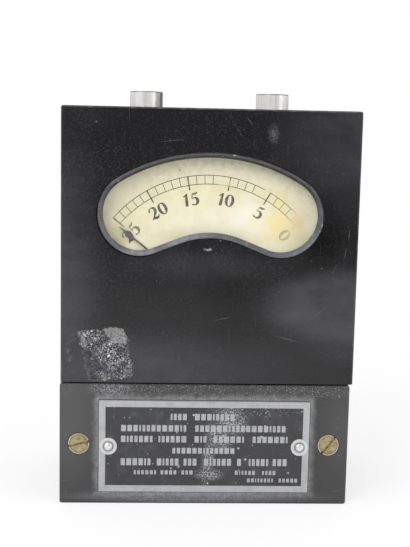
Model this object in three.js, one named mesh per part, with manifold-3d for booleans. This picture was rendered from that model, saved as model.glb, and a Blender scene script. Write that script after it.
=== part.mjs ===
// Blasting galvanometer: a hand-sized continuity tester. A moulded case holds a moving-coil
// movement behind a kidney-shaped window, a battery bay under it behind a screwed cover, and
// two contact studs on top. Millimetres, +Z up, the front faces -Y.
import * as THREE from 'three';
import { mergeVertices } from 'three/addons/utils/BufferGeometryUtils.js';
import Module from 'manifold-3d';

const wasm = await Module();
wasm.setup();

// Case
const caseWidth = 88.9;
const caseDepth = 50.8;
const caseHeight = 120.65;
const wall = 4;
const frontWall = 5;
const caseEdge = 0.45;
const caseCorner = 0.7;
const seamHeight = 38.1;
const shelfLap = 3.5;
const shelfThick = 4;
const backThick = 4;
const seatGap = 0.1;
const fitGap = 0.3;
const overrun = 2;

// Bosses that the back plate and the movement are screwed to
const backBoss = 9;
const backBossLength = 16;
const postRadius = 4;
const postInset = 7.4;
const postFloor = 11.4;
const postHeadroom = 2.15;

// Screws
const backScrew = { head: 3, shank: 1.5, cone: 1.7, length: 14, slotWidth: 0.7, slotDepth: 0.8 };
const coverScrew = { head: 3.3, shank: 1.75, cone: 1.8, length: 14, slotWidth: 0.85, slotDepth: 0.9 };
const movementScrew = { head: 2.6, shank: 1.3, pan: 1.4, length: 8, slotWidth: 0.6, slotDepth: 0.7 };
const bridgeScrew = { head: 1.7, shank: 0.8, pan: 0.8, length: 12, slotWidth: 0.4, slotDepth: 0.4 };
const dialScrew = { head: 1.9, shank: 0.8, pan: 0.6, length: 5, slotWidth: 0.4, slotDepth: 0.3 };
const screwPlay = 0.25;
const screwRecess = 0.1;

// Battery cover
const coverSideGap = 0.25;
const coverTopGap = 0.5;
const coverThick = 6.35;
const coverShift = -0.5;
const coverEdge = 0.45;
const coverScrewInsets = [5.8, 6];
const coverScrewRise = 0.05;
const tongueSide = 4.45;
const tongueThick = 2.4;
const tongueReach = 3;
const tongueGap = 0.6;
const coverBossWidth = 11;
const coverBossHeight = 14;
const coverBossLength = 15;
const insertRadius = 3.2;
const insertLength = 8.8;

// Nameplate
const plateMargin = { left: 11.95, right: 12.15, top: 4.95, bottom: 4.05 };
const plateThick = 0.65;
const plateCorner = 0.3;
const plateBorder = 2;
const plateEtch = 0.2;
const tabRadius = 2.65;
const tabInset = 2.9;
const rivetHead = 1.3;
const rivetDome = 0.65;
const rivetShank = 0.75;
const rivetLength = 4.5;

// Window: a wide arch, two round lobes and a bump between them, on one middle line, with a
// straight flank from each lobe to the bump
const archRise = 42.8;
const archRadius = 51.5;
const lobeRadius = 11;
const windowSide = 12.25;
const windowHeight = 22.35;
const windowFlank = 8;
const bezelWidth = 1.5;
const bezelGap = 0.2;
const bezelLand = 0.45;
const bezelRound = 0.2;
const bezelSlope = 1.3;
const bezelThick = 2.2;
const glassLap = 3.5;
const glassThick = 1.6;
const retainerLap = 3;
const retainerThick = 0.7;

// Dial
const dialRoom = 1.5;
const dialThick = 0.8;
const dialLap = 2.5;
const earRise = 8;
const earOuterRim = 4;
const earInnerRim = 2.6;
const stopRim = 2.2;
const earDrop = 3.4;
const stopRadius = 0.6;
const stopReach = 1.2;
const stopDistance = 19;

// Movement, centred on the pivot line that runs from front to back
const pivotRise = 24.8;
const coreShare = 0.297;
const poleShare = 0.7;
const coilPlay = 0.8;
const coilSide = 2;
const poleHalfHeight = 11;
const magnetSetBack = 2.7;
const magnetHeadroom = 6.35;
const leadRoom = 2.75;
const rearRoom = 5.7;
const basePlateThick = 2;
const basePlateMargin = 0.5;
const basePlateHoleRoom = 2.7;
const coilWidth = 3.2;
const coilEnd = 1.8;
const coilClear = 1.2;
const supportStrut = 2.4;
const supportBar = 3;
const supportDepth = 7;
const pillarRadius = 2.4;
const pillarInset = 3.7;
const bridgeWidth = 7;
const bridgeThick = 1.4;
const bridgeLeg = 3.8;
const bridgeInset = 1.8;
const bridgeRoom = 0.9;
const crossRoom = 0.4;
const rearBridgeStand = 5;
const jewelRadius = 1.5;
const jewelLength = 2.9;
const jewelSlot = 0.5;
const jewelStandOut = 0.7;
const adjusterThick = 0.4;
const adjusterRing = 3.4;
const adjusterGap = 3.6;
const adjusterArm = 1.6;
const springThick = 0.25;
const springHeight = 0.7;
const springInner = 1.5;
const springPitch = 1.3;
const springTurns = 3;
const springPin = 0.8;
const staffRadius = 0.7;
const flangeRadius = 3;
const flangeThick = 0.7;
const layerGap = 0.3;

// Pointer and its balance, drawn pointing straight up
const restTilt = -51.9;
const swingBelow = 1.5;
const swingAbove = 103.9;
const crossThick = 0.6;
const crossHub = 2.8;
const crossArm = 0.8;
const crossSide = 5;
const crossTail = 9.6;
const crossStub = 8.5;
const pointerRoot = 6.3;
const pointerCrank = 11.5;
const pointerWidth = 0.5;
const pointerThick = 0.3;
const pointerClear = 0.6;
const spadeFoot = 29.6;
const spadeWidest = 31.6;
const spadeHead = 33.6;
const spadeWidth = 1.7;
const pointerTip = 34.8;
const pointerPoint = 0.2;
const nutRadius = 1.25;
const nutLength = 1.3;

// Contact studs
const studSpread = 20;
const studRadius = 5.2;
const studRise = 5.25;
const studChamfer = 0.45;
const studShank = 2.4;
const studShankLength = 6.5;
const studNutAcross = 9;
const studNutThick = 3;
const lugThick = 0.8;
const lugRadius = 4.4;
const lugTail = 3;
const lugReach = 7.5;

// Battery, its clips, the resistance spool and the leads
const cellRadius = 9.5;
const cellEndRoom = 15.45;
const cellCapRadius = 3.2;
const cellCapLength = 2;
const cellEdge = 0.8;
const cellBackRoom = 10.3;
const cellFloorGap = 3.2;
const cradleInset = 10;
const cradleWidth = 3;
const cradleHalfDepth = 8;
const clipThick = 0.8;
const clipWidth = 8;
const clipBump = 2.4;
const clipFoot = 6;
const clipRise = 6;
const clipLow = 8;
const slotPlay = 0.4;
const spoolRadius = 5.5;
const spoolCore = 4.4;
const spoolHeight = 9;
const spoolFlange = 1;
const spoolBore = 2.2;
const spoolRoom = 3.6;
const leadRadius = 0.8;

// How the slots of the screws lie, in degrees from level, and how much one differs from the next
const backSlots = { first: 25, step: 40 };
const coverSlots = { first: -9, step: -43 };
const movementSlots = { first: 20, step: 35 };
const bridgeSlots = { first: 15, step: 50 };
const dialSlots = { first: 30, step: 0 };

// How finely round things are cut
const fineSides = 32;
const roundSides = 24;
const smallSides = 16;
const leadSides = 8;
const lobeSteps = 14;
const archSteps = 16;
const bumpSteps = 8;
const stepsPerTurn = 16;
const nutSides = 6;
const weldDistance = 1e-4;

// Densities in grams per cubic millimetre, for the pointer's balance
const aluminiumDensity = 0.0027;
const brassDensity = 0.0085;

// The case's places
const halfWidth = caseWidth / 2;
const innerX = halfWidth - wall;
const backFace = caseDepth - backThick;
const bossFront = backFace - backBossLength;
const shelfLow = seamHeight - shelfLap;
const shelfTop = shelfLow + shelfThick;
const ceiling = caseHeight - wall;
const postX = halfWidth - postInset;
const postLow = shelfTop + postFloor;
const postHigh = ceiling - backBoss - postHeadroom - postRadius;
const studY = caseDepth / 2;

// The cover's and the nameplate's places
const coverWidth = caseWidth - 2 * coverSideGap;
const coverHeight = seamHeight - coverTopGap;
const coverLeft = coverShift - coverWidth / 2;
const coverRight = coverShift + coverWidth / 2;
const coverScrewHeight = coverHeight / 2 + coverScrewRise;
const tongueHalf = halfWidth - coverBossWidth - tongueSide;
const bayFront = coverThick + fitGap;
const plateX = [coverLeft + plateMargin.left, coverRight - plateMargin.right];
const plateZ = [plateMargin.bottom, coverHeight - plateMargin.top];
const standOut = seatGap + plateThick + fitGap / 2 + rivetDome;

// The window's places, from the pivot line upwards
const pivotHeight = shelfTop + pivotRise;
const archTop = pivotHeight + archRise;
const archZ = archTop - archRadius;
const lobeX = halfWidth - windowSide - lobeRadius;
const lobeZ = archZ + Math.sqrt((archRadius - lobeRadius) ** 2 - lobeX ** 2);
const bumpTop = archTop - windowHeight;
const lobeRise = lobeZ - bumpTop;
const bumpChord = lobeX ** 2 + lobeRise ** 2 - lobeRadius ** 2 - windowFlank ** 2;
const bumpRadius = bumpChord / (2 * (lobeRadius - lobeRise));
const bumpZ = bumpTop - bumpRadius;

// The layers from the glass to the back plate
const glassFront = bezelThick + seatGap + fitGap;
const glassBack = glassFront + glassThick;
const dialFace = glassBack + seatGap + retainerThick + dialRoom;
const pointerPlane = dialFace - pointerClear - pointerThick;
const frontBridgeFace = dialFace + dialThick + bridgeRoom;
const frontBridgeBack = frontBridgeFace + bridgeThick;
const frontJewelTip = frontBridgeFace - jewelStandOut + jewelLength;
const adjusterFront = frontBridgeBack + seatGap * 2;
const adjusterBack = adjusterFront + adjusterThick;
const frontSpring = adjusterBack + layerGap;
const crossFront = frontSpring + springHeight + layerGap;
const crossBack = crossFront + crossThick;
const coilFront = crossBack + crossRoom + flangeThick + layerGap;
const coreFront = coilFront + coilEnd + coilClear;
const rearBridgeBack = backFace - rearRoom;
const rearBridgeFront = rearBridgeBack - bridgeThick;
const rearJewelTip = rearBridgeBack + jewelStandOut - jewelLength;
const rearSpring = rearJewelTip - layerGap - springHeight * 2;
const plateBack = rearBridgeFront - rearBridgeStand - seatGap;
const plateFront = plateBack - basePlateThick;
const coreBack = plateFront - seatGap;
const coilBack = coreBack + coilClear + coilEnd;
const magnetBack = coreBack - fitGap;
const magnetFront = coreFront + magnetSetBack;

// The movement's places sideways: the core and the poles share the room between the posts
const magnetOuter = postX - postRadius - leadRoom;
const coreRadius = magnetOuter * coreShare;
const coilInner = coreRadius + coilPlay;
const coilOuter = coilInner + coilSide;
const poleBore = coilOuter + coilPlay;
const poleOuter = magnetOuter * poleShare;
const magnetInner = poleOuter + seatGap;
const magnetArchHeight = ceiling - magnetHeadroom - magnetOuter;
const magnetLow = pivotHeight - poleHalfHeight;
const bridgeHalfSpan = poleOuter - bridgeInset;
const adjusterReach = bridgeHalfSpan - bridgeLeg - adjusterGap;
const springOuter = springInner + springPitch * springTurns;
const earX = poleOuter - pillarInset;

// The battery's and the leads' places
const cellLength = 2 * (innerX - cellEndRoom);
const cellZ = wall + cellFloorGap + cellRadius;
const cellCentreY = backFace - cellBackRoom - cellRadius;
const cradleX = cellLength / 2 - cradleInset;
const clipX = cellLength / 2 + cellCapLength + layerGap + clipBump;
const spoolY = plateFront - spoolRoom - spoolRadius;
const pegRadius = spoolBore - fitGap;
const leadEnd = leadRadius + fitGap;
const degree = Math.PI / 180;

// Solids

function signedVolume(positions, corners) {
  let sum = 0;
  const [a, b, c] = [new THREE.Vector3(), new THREE.Vector3(), new THREE.Vector3()];
  for (let i = 0; i < corners.length; i += 3) {
    a.fromArray(positions, corners[i] * 3);
    b.fromArray(positions, corners[i + 1] * 3);
    c.fromArray(positions, corners[i + 2] * 3);
    sum += a.dot(b.cross(c));
  }
  return sum;
}

function solid(geometry) {
  const plain = geometry.clone();
  for (const name of Object.keys(plain.attributes)) {
    if (name !== 'position') plain.deleteAttribute(name);
  }
  const merged = mergeVertices(plain, weldDistance);
  const positions = merged.attributes.position.array;
  const source = merged.index.array;
  const corners = [];
  for (let i = 0; i < source.length; i += 3) {
    const [a, b, c] = [source[i], source[i + 1], source[i + 2]];
    if (a !== b && b !== c && c !== a) corners.push(a, b, c);
  }
  if (signedVolume(positions, corners) < 0) corners.reverse();
  return new wasm.Manifold(new wasm.Mesh({
    numProp: 3,
    vertProperties: positions,
    triVerts: new Uint32Array(corners),
  }));
}

function surface(body) {
  const mesh = body.getMesh();
  const geometry = new THREE.BufferGeometry();
  geometry.setAttribute('position', new THREE.BufferAttribute(new Float32Array(mesh.vertProperties), 3));
  geometry.setIndex(new THREE.BufferAttribute(new Uint32Array(mesh.triVerts), 1));
  geometry.computeVertexNormals();
  return geometry;
}

function join(first, ...others) {
  return others.reduce((body, other) => body.add(other), first);
}

function cut(first, ...cutters) {
  return cutters.reduce((body, cutter) => body.subtract(cutter), first);
}

function block([x0, x1], [y0, y1], [z0, z1]) {
  const box = new THREE.BoxGeometry(x1 - x0, y1 - y0, z1 - z0);
  return solid(box.translate((x0 + x1) / 2, (y0 + y1) / 2, (z0 + z1) / 2));
}

// Turned solids: the profile holds [radius, place along the axis] from end to end.
function lathe(profile, sides) {
  return new THREE.LatheGeometry(profile.map(([r, s]) => new THREE.Vector2(r, s)), sides);
}

function turnedY(profile, x, z, sides = roundSides) {
  return solid(lathe(profile, sides).translate(x, 0, z));
}

function turnedZ(profile, x, y, sides = roundSides) {
  return solid(lathe(profile, sides).rotateX(Math.PI / 2).translate(x, y, 0));
}

function turnedX(profile, y, z, sides = roundSides) {
  return solid(lathe(profile, sides).rotateZ(-Math.PI / 2).translate(0, y, z));
}

function discProfile(radius, low, high) {
  return [[0, low], [radius, low], [radius, high], [0, high]];
}

function rodY(radius, [y0, y1], x, z, sides = roundSides) {
  return turnedY(discProfile(radius, y0, y1), x, z, sides);
}

function rodZ(radius, [z0, z1], x, y, sides = roundSides) {
  return turnedZ(discProfile(radius, z0, z1), x, y, sides);
}

function rodX(radius, [x0, x1], y, z, sides = roundSides) {
  return turnedX(discProfile(radius, x0, x1), y, z, sides);
}

// An outline in x and z, made solid from depth y0 to y1.
function slab(shape, [y0, y1], bevel = 0) {
  const geometry = new THREE.ExtrudeGeometry(shape, {
    depth: y1 - y0 - 2 * bevel,
    bevelEnabled: bevel > 0,
    bevelThickness: bevel,
    bevelSize: bevel,
    bevelOffset: -bevel,
    bevelSegments: 1,
    curveSegments: roundSides / 4,
  });
  return solid(geometry.rotateX(Math.PI / 2).translate(0, y1 - bevel, 0));
}

function arc(x, z, radius, from, to, steps, closeEnd) {
  const points = [];
  const last = closeEnd ? steps : steps - 1;
  for (let i = 0; i <= last; i += 1) {
    const angle = from + (to - from) * i / steps;
    points.push(new THREE.Vector2(x + radius * Math.cos(angle), z + radius * Math.sin(angle)));
  }
  return points;
}

function roundedRectangle([x0, x1], [z0, z1], radius) {
  const quarter = Math.PI / 2;
  const steps = 3;
  return new THREE.Shape([
    ...arc(x1 - radius, z1 - radius, radius, 0, quarter, steps, true),
    ...arc(x0 + radius, z1 - radius, radius, quarter, 2 * quarter, steps, true),
    ...arc(x0 + radius, z0 + radius, radius, 2 * quarter, 3 * quarter, steps, true),
    ...arc(x1 - radius, z0 + radius, radius, 3 * quarter, 4 * quarter, steps, true),
  ]);
}

// The window's outline, grown outwards by an offset.
function windowPoints(offset) {
  const shoulder = Math.atan2(lobeZ - archZ, lobeX);
  const lean = Math.atan2(lobeZ - bumpZ, lobeX);
  const apart = Math.hypot(lobeZ - bumpZ, lobeX);
  const cross = Math.acos((bumpRadius + lobeRadius) / apart);
  const bumpEnd = lean + cross;
  const lobeEnd = bumpEnd - Math.PI;
  return [
    ...arc(0, archZ, archRadius + offset, shoulder, Math.PI - shoulder, archSteps, false),
    ...arc(-lobeX, lobeZ, lobeRadius + offset, Math.PI - shoulder, Math.PI - lobeEnd, lobeSteps, true),
    ...arc(0, bumpZ, bumpRadius - offset, Math.PI - bumpEnd, bumpEnd, bumpSteps, true),
    ...arc(lobeX, lobeZ, lobeRadius + offset, lobeEnd, shoulder, lobeSteps, false),
  ];
}

function windowSlab(offset, depths) {
  return slab(new THREE.Shape(windowPoints(offset)), depths);
}

// A ring that follows the window's outline with one section, given as [offset, depth] corners.
function windowRing(section) {
  const rings = section.map(([offset, y]) => windowPoints(offset).map((point) => [point.x, y, point.y]));
  const around = rings[0].length;
  const index = [];
  for (let j = 0; j < rings.length; j += 1) {
    const next = (j + 1) % rings.length;
    for (let i = 0; i < around; i += 1) {
      const right = (i + 1) % around;
      const [a, b, c, d] = [j * around + i, j * around + right, next * around + right, next * around + i];
      index.push(a, b, c, a, c, d);
    }
  }
  const geometry = new THREE.BufferGeometry();
  geometry.setAttribute('position', new THREE.Float32BufferAttribute(rings.flat(2), 3));
  geometry.setIndex(index);
  return solid(geometry);
}

function slotAngle(slots, number) {
  return slots.first + slots.step * number;
}

// A slotted screw whose head face lies at depth y. Its way is 1 when it goes in from the
// front and -1 from the back.
function screw(size, x, y, z, way, slotAngle) {
  const headEnd = y + way * (size.cone ?? size.pan);
  const neck = size.cone ? size.shank : size.head;
  const profile = [[0, y], [size.head, y], [neck, headEnd], [size.shank, headEnd]];
  if (size.cone) profile.pop();
  profile.push([size.shank, y + way * size.length], [0, y + way * size.length]);
  const long = size.head + overrun;
  const slot = new THREE.BoxGeometry(2 * long, 2 * size.slotDepth, size.slotWidth);
  slot.rotateY(slotAngle * degree).translate(x, y, z);
  return cut(turnedY(profile, x, z, smallSides), solid(slot));
}

function lead(points) {
  const places = points.map((point) => new THREE.Vector3(...point));
  const curve = new THREE.CatmullRomCurve3(places, false, 'centripetal');
  const section = new THREE.Shape(arc(0, 0, leadRadius, 0, 2 * Math.PI, leadSides, false));
  const steps = Math.ceil(curve.getLength() / (5 * leadRadius));
  return solid(new THREE.ExtrudeGeometry(section, { steps, extrudePath: curve }));
}

// Case

function windowCuts() {
  const front = windowSlab(bezelWidth + bezelGap, [-overrun, bezelThick + seatGap + overrun]);
  const pocket = windowSlab(glassLap + fitGap, [bezelThick + seatGap, frontWall + overrun]);
  return [front, pocket];
}

function backBosses() {
  const depths = [bossFront, backFace - seatGap];
  const across = [innerX - backBoss, innerX + seatGap];
  const mirrored = [-across[1], -across[0]];
  const low = [wall - seatGap, wall + backBoss];
  const high = [ceiling - backBoss, ceiling + seatGap];
  return [across, mirrored].flatMap((xs) => [low, high].map((zs) => block(xs, depths, zs)));
}

function backScrewPlaces() {
  const x = innerX - backBoss / 2;
  return [
    [-x, ceiling - backBoss / 2],
    [x, ceiling - backBoss / 2],
    [-x, wall + backBoss / 2],
    [x, wall + backBoss / 2],
  ];
}

function postPlaces() {
  return [[-postX, postHigh], [postX, postHigh], [-postX, postLow], [postX, postLow]];
}

function coverScrewPlaces() {
  const [left, right] = coverScrewInsets;
  return [coverLeft + left, coverRight - right].map((x) => [x, coverScrewHeight]);
}

function coverBosses() {
  const depths = [bayFront, bayFront + coverBossLength];
  const zs = [coverScrewHeight - coverBossHeight / 2, coverScrewHeight + coverBossHeight / 2];
  return [
    block([halfWidth - coverBossWidth, halfWidth - wall / 2], depths, zs),
    block([wall / 2 - halfWidth, coverBossWidth - halfWidth], depths, zs),
  ];
}

function cradles() {
  const depths = [cellCentreY - cradleHalfDepth, cellCentreY + cradleHalfDepth];
  const cell = rodX(cellRadius + fitGap, [-cellLength, cellLength], cellCentreY, cellZ, fineSides);
  return [-1, 1].map((side) => {
    const xs = [side * cradleX - cradleWidth / 2, side * cradleX + cradleWidth / 2];
    return cut(block(xs, depths, [wall / 2, cellZ - cellRadius / 2]), cell);
  });
}

function clipSlots() {
  const depths = [cellCentreY - clipWidth / 2 - slotPlay, cellCentreY + clipWidth / 2 + slotPlay];
  const zs = [shelfLow - overrun, shelfTop + overrun];
  return [-1, 1].map((side) => {
    const middle = side * (clipX + clipThick / 2);
    const half = clipThick / 2 + slotPlay;
    return block([middle - half, middle + half], depths, zs);
  });
}

function caseShell() {
  const depths = [0, backFace - seatGap];
  const outline = roundedRectangle([-halfWidth, halfWidth], [0, caseHeight], caseCorner);
  const outer = slab(outline, depths, caseEdge);
  const chamber = block([-innerX, innerX], [frontWall, caseDepth], [shelfTop, ceiling]);
  const bay = block([-innerX, innerX], [-overrun, caseDepth], [wall, shelfLow]);
  const coverRoom = block([-caseWidth, caseWidth], [-overrun, bayFront], [-overrun, seamHeight]);
  const hollow = cut(outer, chamber, bay, coverRoom);
  const posts = postPlaces().map(([x, z]) => (
    rodY(postRadius, [frontWall - seatGap, coreBack], x, z, smallSides)));
  const pegTop = shelfTop + spoolHeight - spoolFlange;
  const peg = rodZ(pegRadius, [shelfTop - seatGap, pegTop], 0, spoolY, smallSides);
  const whole = join(hollow, ...backBosses(), ...posts, ...coverBosses(), ...cradles(), peg);
  const backHoles = backScrewPlaces().map(([x, z]) => {
    const hole = [caseDepth - backScrew.length - overrun, caseDepth];
    return rodY(backScrew.shank + screwPlay, hole, x, z, smallSides);
  });
  const postHoles = postPlaces().map(([x, z]) => {
    const hole = [plateBack - movementScrew.length, caseDepth];
    return rodY(movementScrew.shank + screwPlay, hole, x, z, smallSides);
  });
  const insertHoles = coverScrewPlaces().map(([x, z]) => {
    const hole = [bayFront - overrun, bayFront + insertLength + fitGap];
    return rodY(insertRadius + screwPlay, hole, x, z, roundSides);
  });
  const studHoles = [-studSpread, studSpread].map((x) => (
    rodZ(studShank + fitGap, [ceiling - overrun, caseHeight + overrun], x, studY, smallSides)));
  const holes = [...backHoles, ...postHoles, ...insertHoles, ...studHoles];
  return cut(whole, ...windowCuts(), ...holes, ...clipSlots());
}

function backPlate() {
  const outline = roundedRectangle([-halfWidth, halfWidth], [0, caseHeight], caseCorner);
  const plate = slab(outline, [backFace, caseDepth], caseEdge);
  const holes = backScrewPlaces().map(([x, z]) => {
    const sink = backScrew.head + screwPlay;
    const bore = backScrew.shank + screwPlay;
    const start = caseDepth - backScrew.cone - screwRecess;
    const profile = [
      [0, backFace - overrun],
      [bore, backFace - overrun],
      [bore, start],
      [sink, caseDepth - screwRecess],
      [sink, caseDepth + overrun],
      [0, caseDepth + overrun],
    ];
    return turnedY(profile, x, z, smallSides);
  });
  return cut(plate, ...holes);
}

// Battery cover and nameplate

function batteryCover() {
  const outline = roundedRectangle([coverLeft, coverRight], [0, coverHeight], caseCorner);
  const face = slab(outline, [0, coverThick], coverEdge);
  const tongueX = [coverShift - tongueHalf, coverShift + tongueHalf];
  const tongueY = [coverThick - seatGap, coverThick + tongueReach];
  const upper = block(tongueX, tongueY, [shelfLow - tongueGap - tongueThick, shelfLow - tongueGap]);
  const lower = block(tongueX, tongueY, [wall + tongueGap, wall + tongueGap + tongueThick]);
  const sinks = coverScrewPlaces().map(([x, z]) => {
    const sink = coverScrew.head + screwPlay;
    const bore = coverScrew.shank + screwPlay;
    const profile = [
      [0, -overrun],
      [sink, -overrun],
      [sink, screwRecess],
      [bore, screwRecess + coverScrew.cone],
      [bore, coverThick + overrun],
      [0, coverThick + overrun],
    ];
    return turnedY(profile, x, z, roundSides);
  });
  const rivetHoles = rivetPlaces().map(([x, z]) => (
    rodY(rivetShank + screwPlay, [-overrun, rivetLength], x, z, smallSides)));
  return cut(join(face, upper, lower), ...sinks, ...rivetHoles);
}

function rivetPlaces() {
  const [left, right] = plateX;
  return [left + tabInset, right - tabInset].map((x) => [x, (plateZ[0] + plateZ[1]) / 2]);
}

function nameplate() {
  const back = -seatGap;
  const front = back - plateThick;
  const blank = slab(roundedRectangle(plateX, plateZ, plateCorner), [front, back]);
  const fieldX = [plateX[0] + plateBorder, plateX[1] - plateBorder];
  const fieldZ = [plateZ[0] + plateBorder, plateZ[1] - plateBorder];
  const field = block(fieldX, [front - overrun, front + plateEtch], fieldZ);
  const tabs = rivetPlaces().map(([x, z]) => rodY(tabRadius, [front, back], x, z, roundSides));
  const holes = rivetPlaces().map(([x, z]) => (
    rodY(rivetShank + screwPlay, [front - overrun, back + overrun], x, z, smallSides)));
  return cut(join(cut(blank, field), ...tabs), ...holes);
}

function nameplateRivet([x, z]) {
  const foot = -seatGap - plateThick - fitGap / 2;
  const half = rivetDome / 2;
  const profile = [
    [0, foot - rivetDome],
    [rivetHead * Math.sin(Math.PI / 6), foot - rivetDome * Math.cos(Math.PI / 8)],
    [rivetHead * Math.cos(Math.PI / 6), foot - half],
    [rivetHead, foot],
    [rivetShank, foot],
    [rivetShank, rivetLength - fitGap],
    [0, rivetLength - fitGap],
  ];
  return turnedY(profile, x, z, smallSides);
}

function coverInsert([x, z]) {
  const depths = [bayFront + seatGap, bayFront + insertLength];
  const bore = rodY(coverScrew.shank + screwPlay, [0, caseDepth], x, z, smallSides);
  return cut(rodY(insertRadius, depths, x, z, roundSides), bore);
}

// Window

function windowBezel() {
  return windowRing([
    [bezelWidth, bezelRound],
    [bezelWidth - bezelRound, 0],
    [bezelWidth - bezelLand, 0],
    [0, bezelSlope],
    [0, bezelThick],
    [bezelWidth, bezelThick],
  ]);
}

function windowGlass() {
  return windowSlab(glassLap, [glassFront, glassBack]);
}

function glassRetainer() {
  const depths = [glassBack + seatGap, glassBack + seatGap + retainerThick];
  return windowRing([
    [glassLap, depths[0]],
    [glassLap - retainerLap, depths[0]],
    [glassLap - retainerLap, depths[1]],
    [glassLap, depths[1]],
  ]);
}

// Dial

function earPlaces() {
  return [-earX, earX].map((x) => [x, pivotHeight + earRise]);
}

function stopPlaces() {
  const sweep = pointerWidth / 2 + stopRadius + fitGap;
  const spare = Math.asin(sweep / stopDistance);
  const low = (restTilt - swingBelow) * degree - spare;
  const high = (restTilt + swingAbove) * degree + spare;
  return [low, high].map((angle) => (
    [stopDistance * Math.sin(angle), pivotHeight + stopDistance * Math.cos(angle)]));
}

function dialPlate() {
  const depths = [dialFace, dialFace + dialThick];
  const ears = earPlaces().map(([x, z], i) => {
    const way = Math.sign(x);
    const stop = stopPlaces()[i][0];
    const rims = [x - way * earInnerRim, x + way * earOuterRim, stop - stopRim, stop + stopRim];
    return block([Math.min(...rims), Math.max(...rims)], depths, [z - earDrop, lobeZ]);
  });
  const stops = stopPlaces().map(([x, z]) => (
    rodY(stopRadius, [dialFace - stopReach, dialFace + dialThick / 2], x, z, smallSides)));
  const holes = earPlaces().map(([x, z]) => (
    rodY(dialScrew.shank + screwPlay, [dialFace - overrun, dialFace + overrun], x, z, smallSides)));
  return cut(join(windowSlab(dialLap, depths), ...ears, ...stops), ...holes);
}

function dialPillar([x, z]) {
  const depths = [dialFace + dialThick + seatGap, coreFront - seatGap];
  const boreEnd = dialFace + dialScrew.length + overrun;
  const bore = rodY(dialScrew.shank + screwPlay, [dialFace, boreEnd], x, z, smallSides);
  return cut(rodY(pillarRadius, depths, x, z, smallSides), bore);
}

// Movement

function polePiece(side) {
  const xs = side < 0 ? [-poleOuter, -supportStrut] : [supportStrut, poleOuter];
  const zs = [pivotHeight - poleHalfHeight, pivotHeight + poleHalfHeight];
  const bore = rodY(poleBore, [coreFront - overrun, coreBack + overrun], 0, pivotHeight, fineSides);
  const screwEnd = frontBridgeFace + bridgeScrew.length + overrun;
  const x = side * bridgeScrewX();
  const hole = rodY(bridgeScrew.shank + screwPlay, [0, screwEnd], x, pivotHeight, smallSides);
  return cut(block(xs, [coreFront, coreBack], zs), bore, hole);
}

function magnet() {
  const arch = magnetArchHeight;
  const outline = new THREE.Shape([
    new THREE.Vector2(magnetInner, magnetLow),
    new THREE.Vector2(magnetOuter, magnetLow),
    ...arc(0, arch, magnetOuter, 0, Math.PI, fineSides / 2, true),
    new THREE.Vector2(-magnetOuter, magnetLow),
    new THREE.Vector2(-magnetInner, magnetLow),
    ...arc(0, arch, magnetInner, Math.PI, 0, fineSides / 2, true),
  ]);
  return slab(outline, [magnetFront, magnetBack]);
}

function ironCore() {
  return rodY(coreRadius, [coreFront, coreBack], 0, pivotHeight, fineSides);
}

function coreSupport() {
  const middle = (coreFront + coreBack) / 2;
  const depths = [middle - supportDepth / 2, middle + supportDepth / 2];
  const barLow = pivotHeight + poleHalfHeight + seatGap;
  const strut = block([-supportStrut, supportStrut], depths, [pivotHeight, barLow + seatGap]);
  const bar = block([fitGap - poleOuter, poleOuter - fitGap], depths, [barLow, barLow + supportBar]);
  const core = rodY(coreRadius + fitGap, [0, caseDepth], 0, pivotHeight, fineSides);
  const slimmer = block([-supportStrut, supportStrut], depths, [0, pivotHeight]);
  return cut(join(strut, bar), core, slimmer);
}

function movementPlate() {
  const xs = [basePlateMargin - innerX, innerX - basePlateMargin];
  const zs = [postLow - postRadius - basePlateMargin, postHigh + postRadius];
  const plate = block(xs, [plateFront, plateBack], zs);
  const depths = [plateFront - overrun, plateBack + overrun];
  const middle = rodY(coilOuter + basePlateHoleRoom, depths, 0, pivotHeight, fineSides);
  const holes = postPlaces().map(([x, z]) => (
    rodY(movementScrew.shank + screwPlay, depths, x, z, smallSides)));
  return cut(plate, middle, ...holes);
}

function bridgeScrewX() {
  return bridgeHalfSpan - bridgeLeg / 2;
}

// A strap across the movement that holds a jewel screw; legs stand between the two depths.
function bridge([y0, y1], legs) {
  const zs = [pivotHeight - bridgeWidth / 2, pivotHeight + bridgeWidth / 2];
  const strap = block([-bridgeHalfSpan, bridgeHalfSpan], [y0, y1], zs);
  const feet = [-1, 1].map((side) => {
    const xs = [side * bridgeHalfSpan, side * (bridgeHalfSpan - bridgeLeg)].sort((a, b) => a - b);
    return block(xs, legs, zs);
  });
  const jewel = rodY(jewelRadius + screwPlay, [y0 - overrun, y1 + overrun], 0, pivotHeight, smallSides);
  return cut(join(strap, ...feet), jewel);
}

function frontBridge() {
  const body = bridge([frontBridgeFace, frontBridgeBack], [frontBridgeFace, coreFront - seatGap]);
  const holes = [-1, 1].map((side) => (
    rodY(bridgeScrew.shank + screwPlay, [0, coreFront], side * bridgeScrewX(), pivotHeight, smallSides)));
  return cut(body, ...holes);
}

function rearBridge() {
  const body = bridge([rearBridgeFront, rearBridgeBack], [plateBack + seatGap, rearBridgeBack]);
  return join(body, springAnchor([rearSpring, rearBridgeFront + seatGap], pivotHeight));
}

// The post that a hairspring's outer end is fixed to, left of the pivot line.
function springAnchor(depths, z) {
  const start = springOuter + springThick + fitGap;
  return block([-start - springPin, -start], depths, [z - springPin / 2, z + springPin / 2]);
}

function jewelScrew(face, way) {
  const tip = face + way * jewelLength;
  const profile = discProfile(jewelRadius, Math.min(face, tip), Math.max(face, tip));
  const slot = block([-jewelRadius * 2, jewelRadius * 2], [face - jewelSlot, face + jewelSlot],
    [pivotHeight - jewelSlot / 2, pivotHeight + jewelSlot / 2]);
  return cut(turnedY(profile, 0, pivotHeight, smallSides), slot);
}

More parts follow.
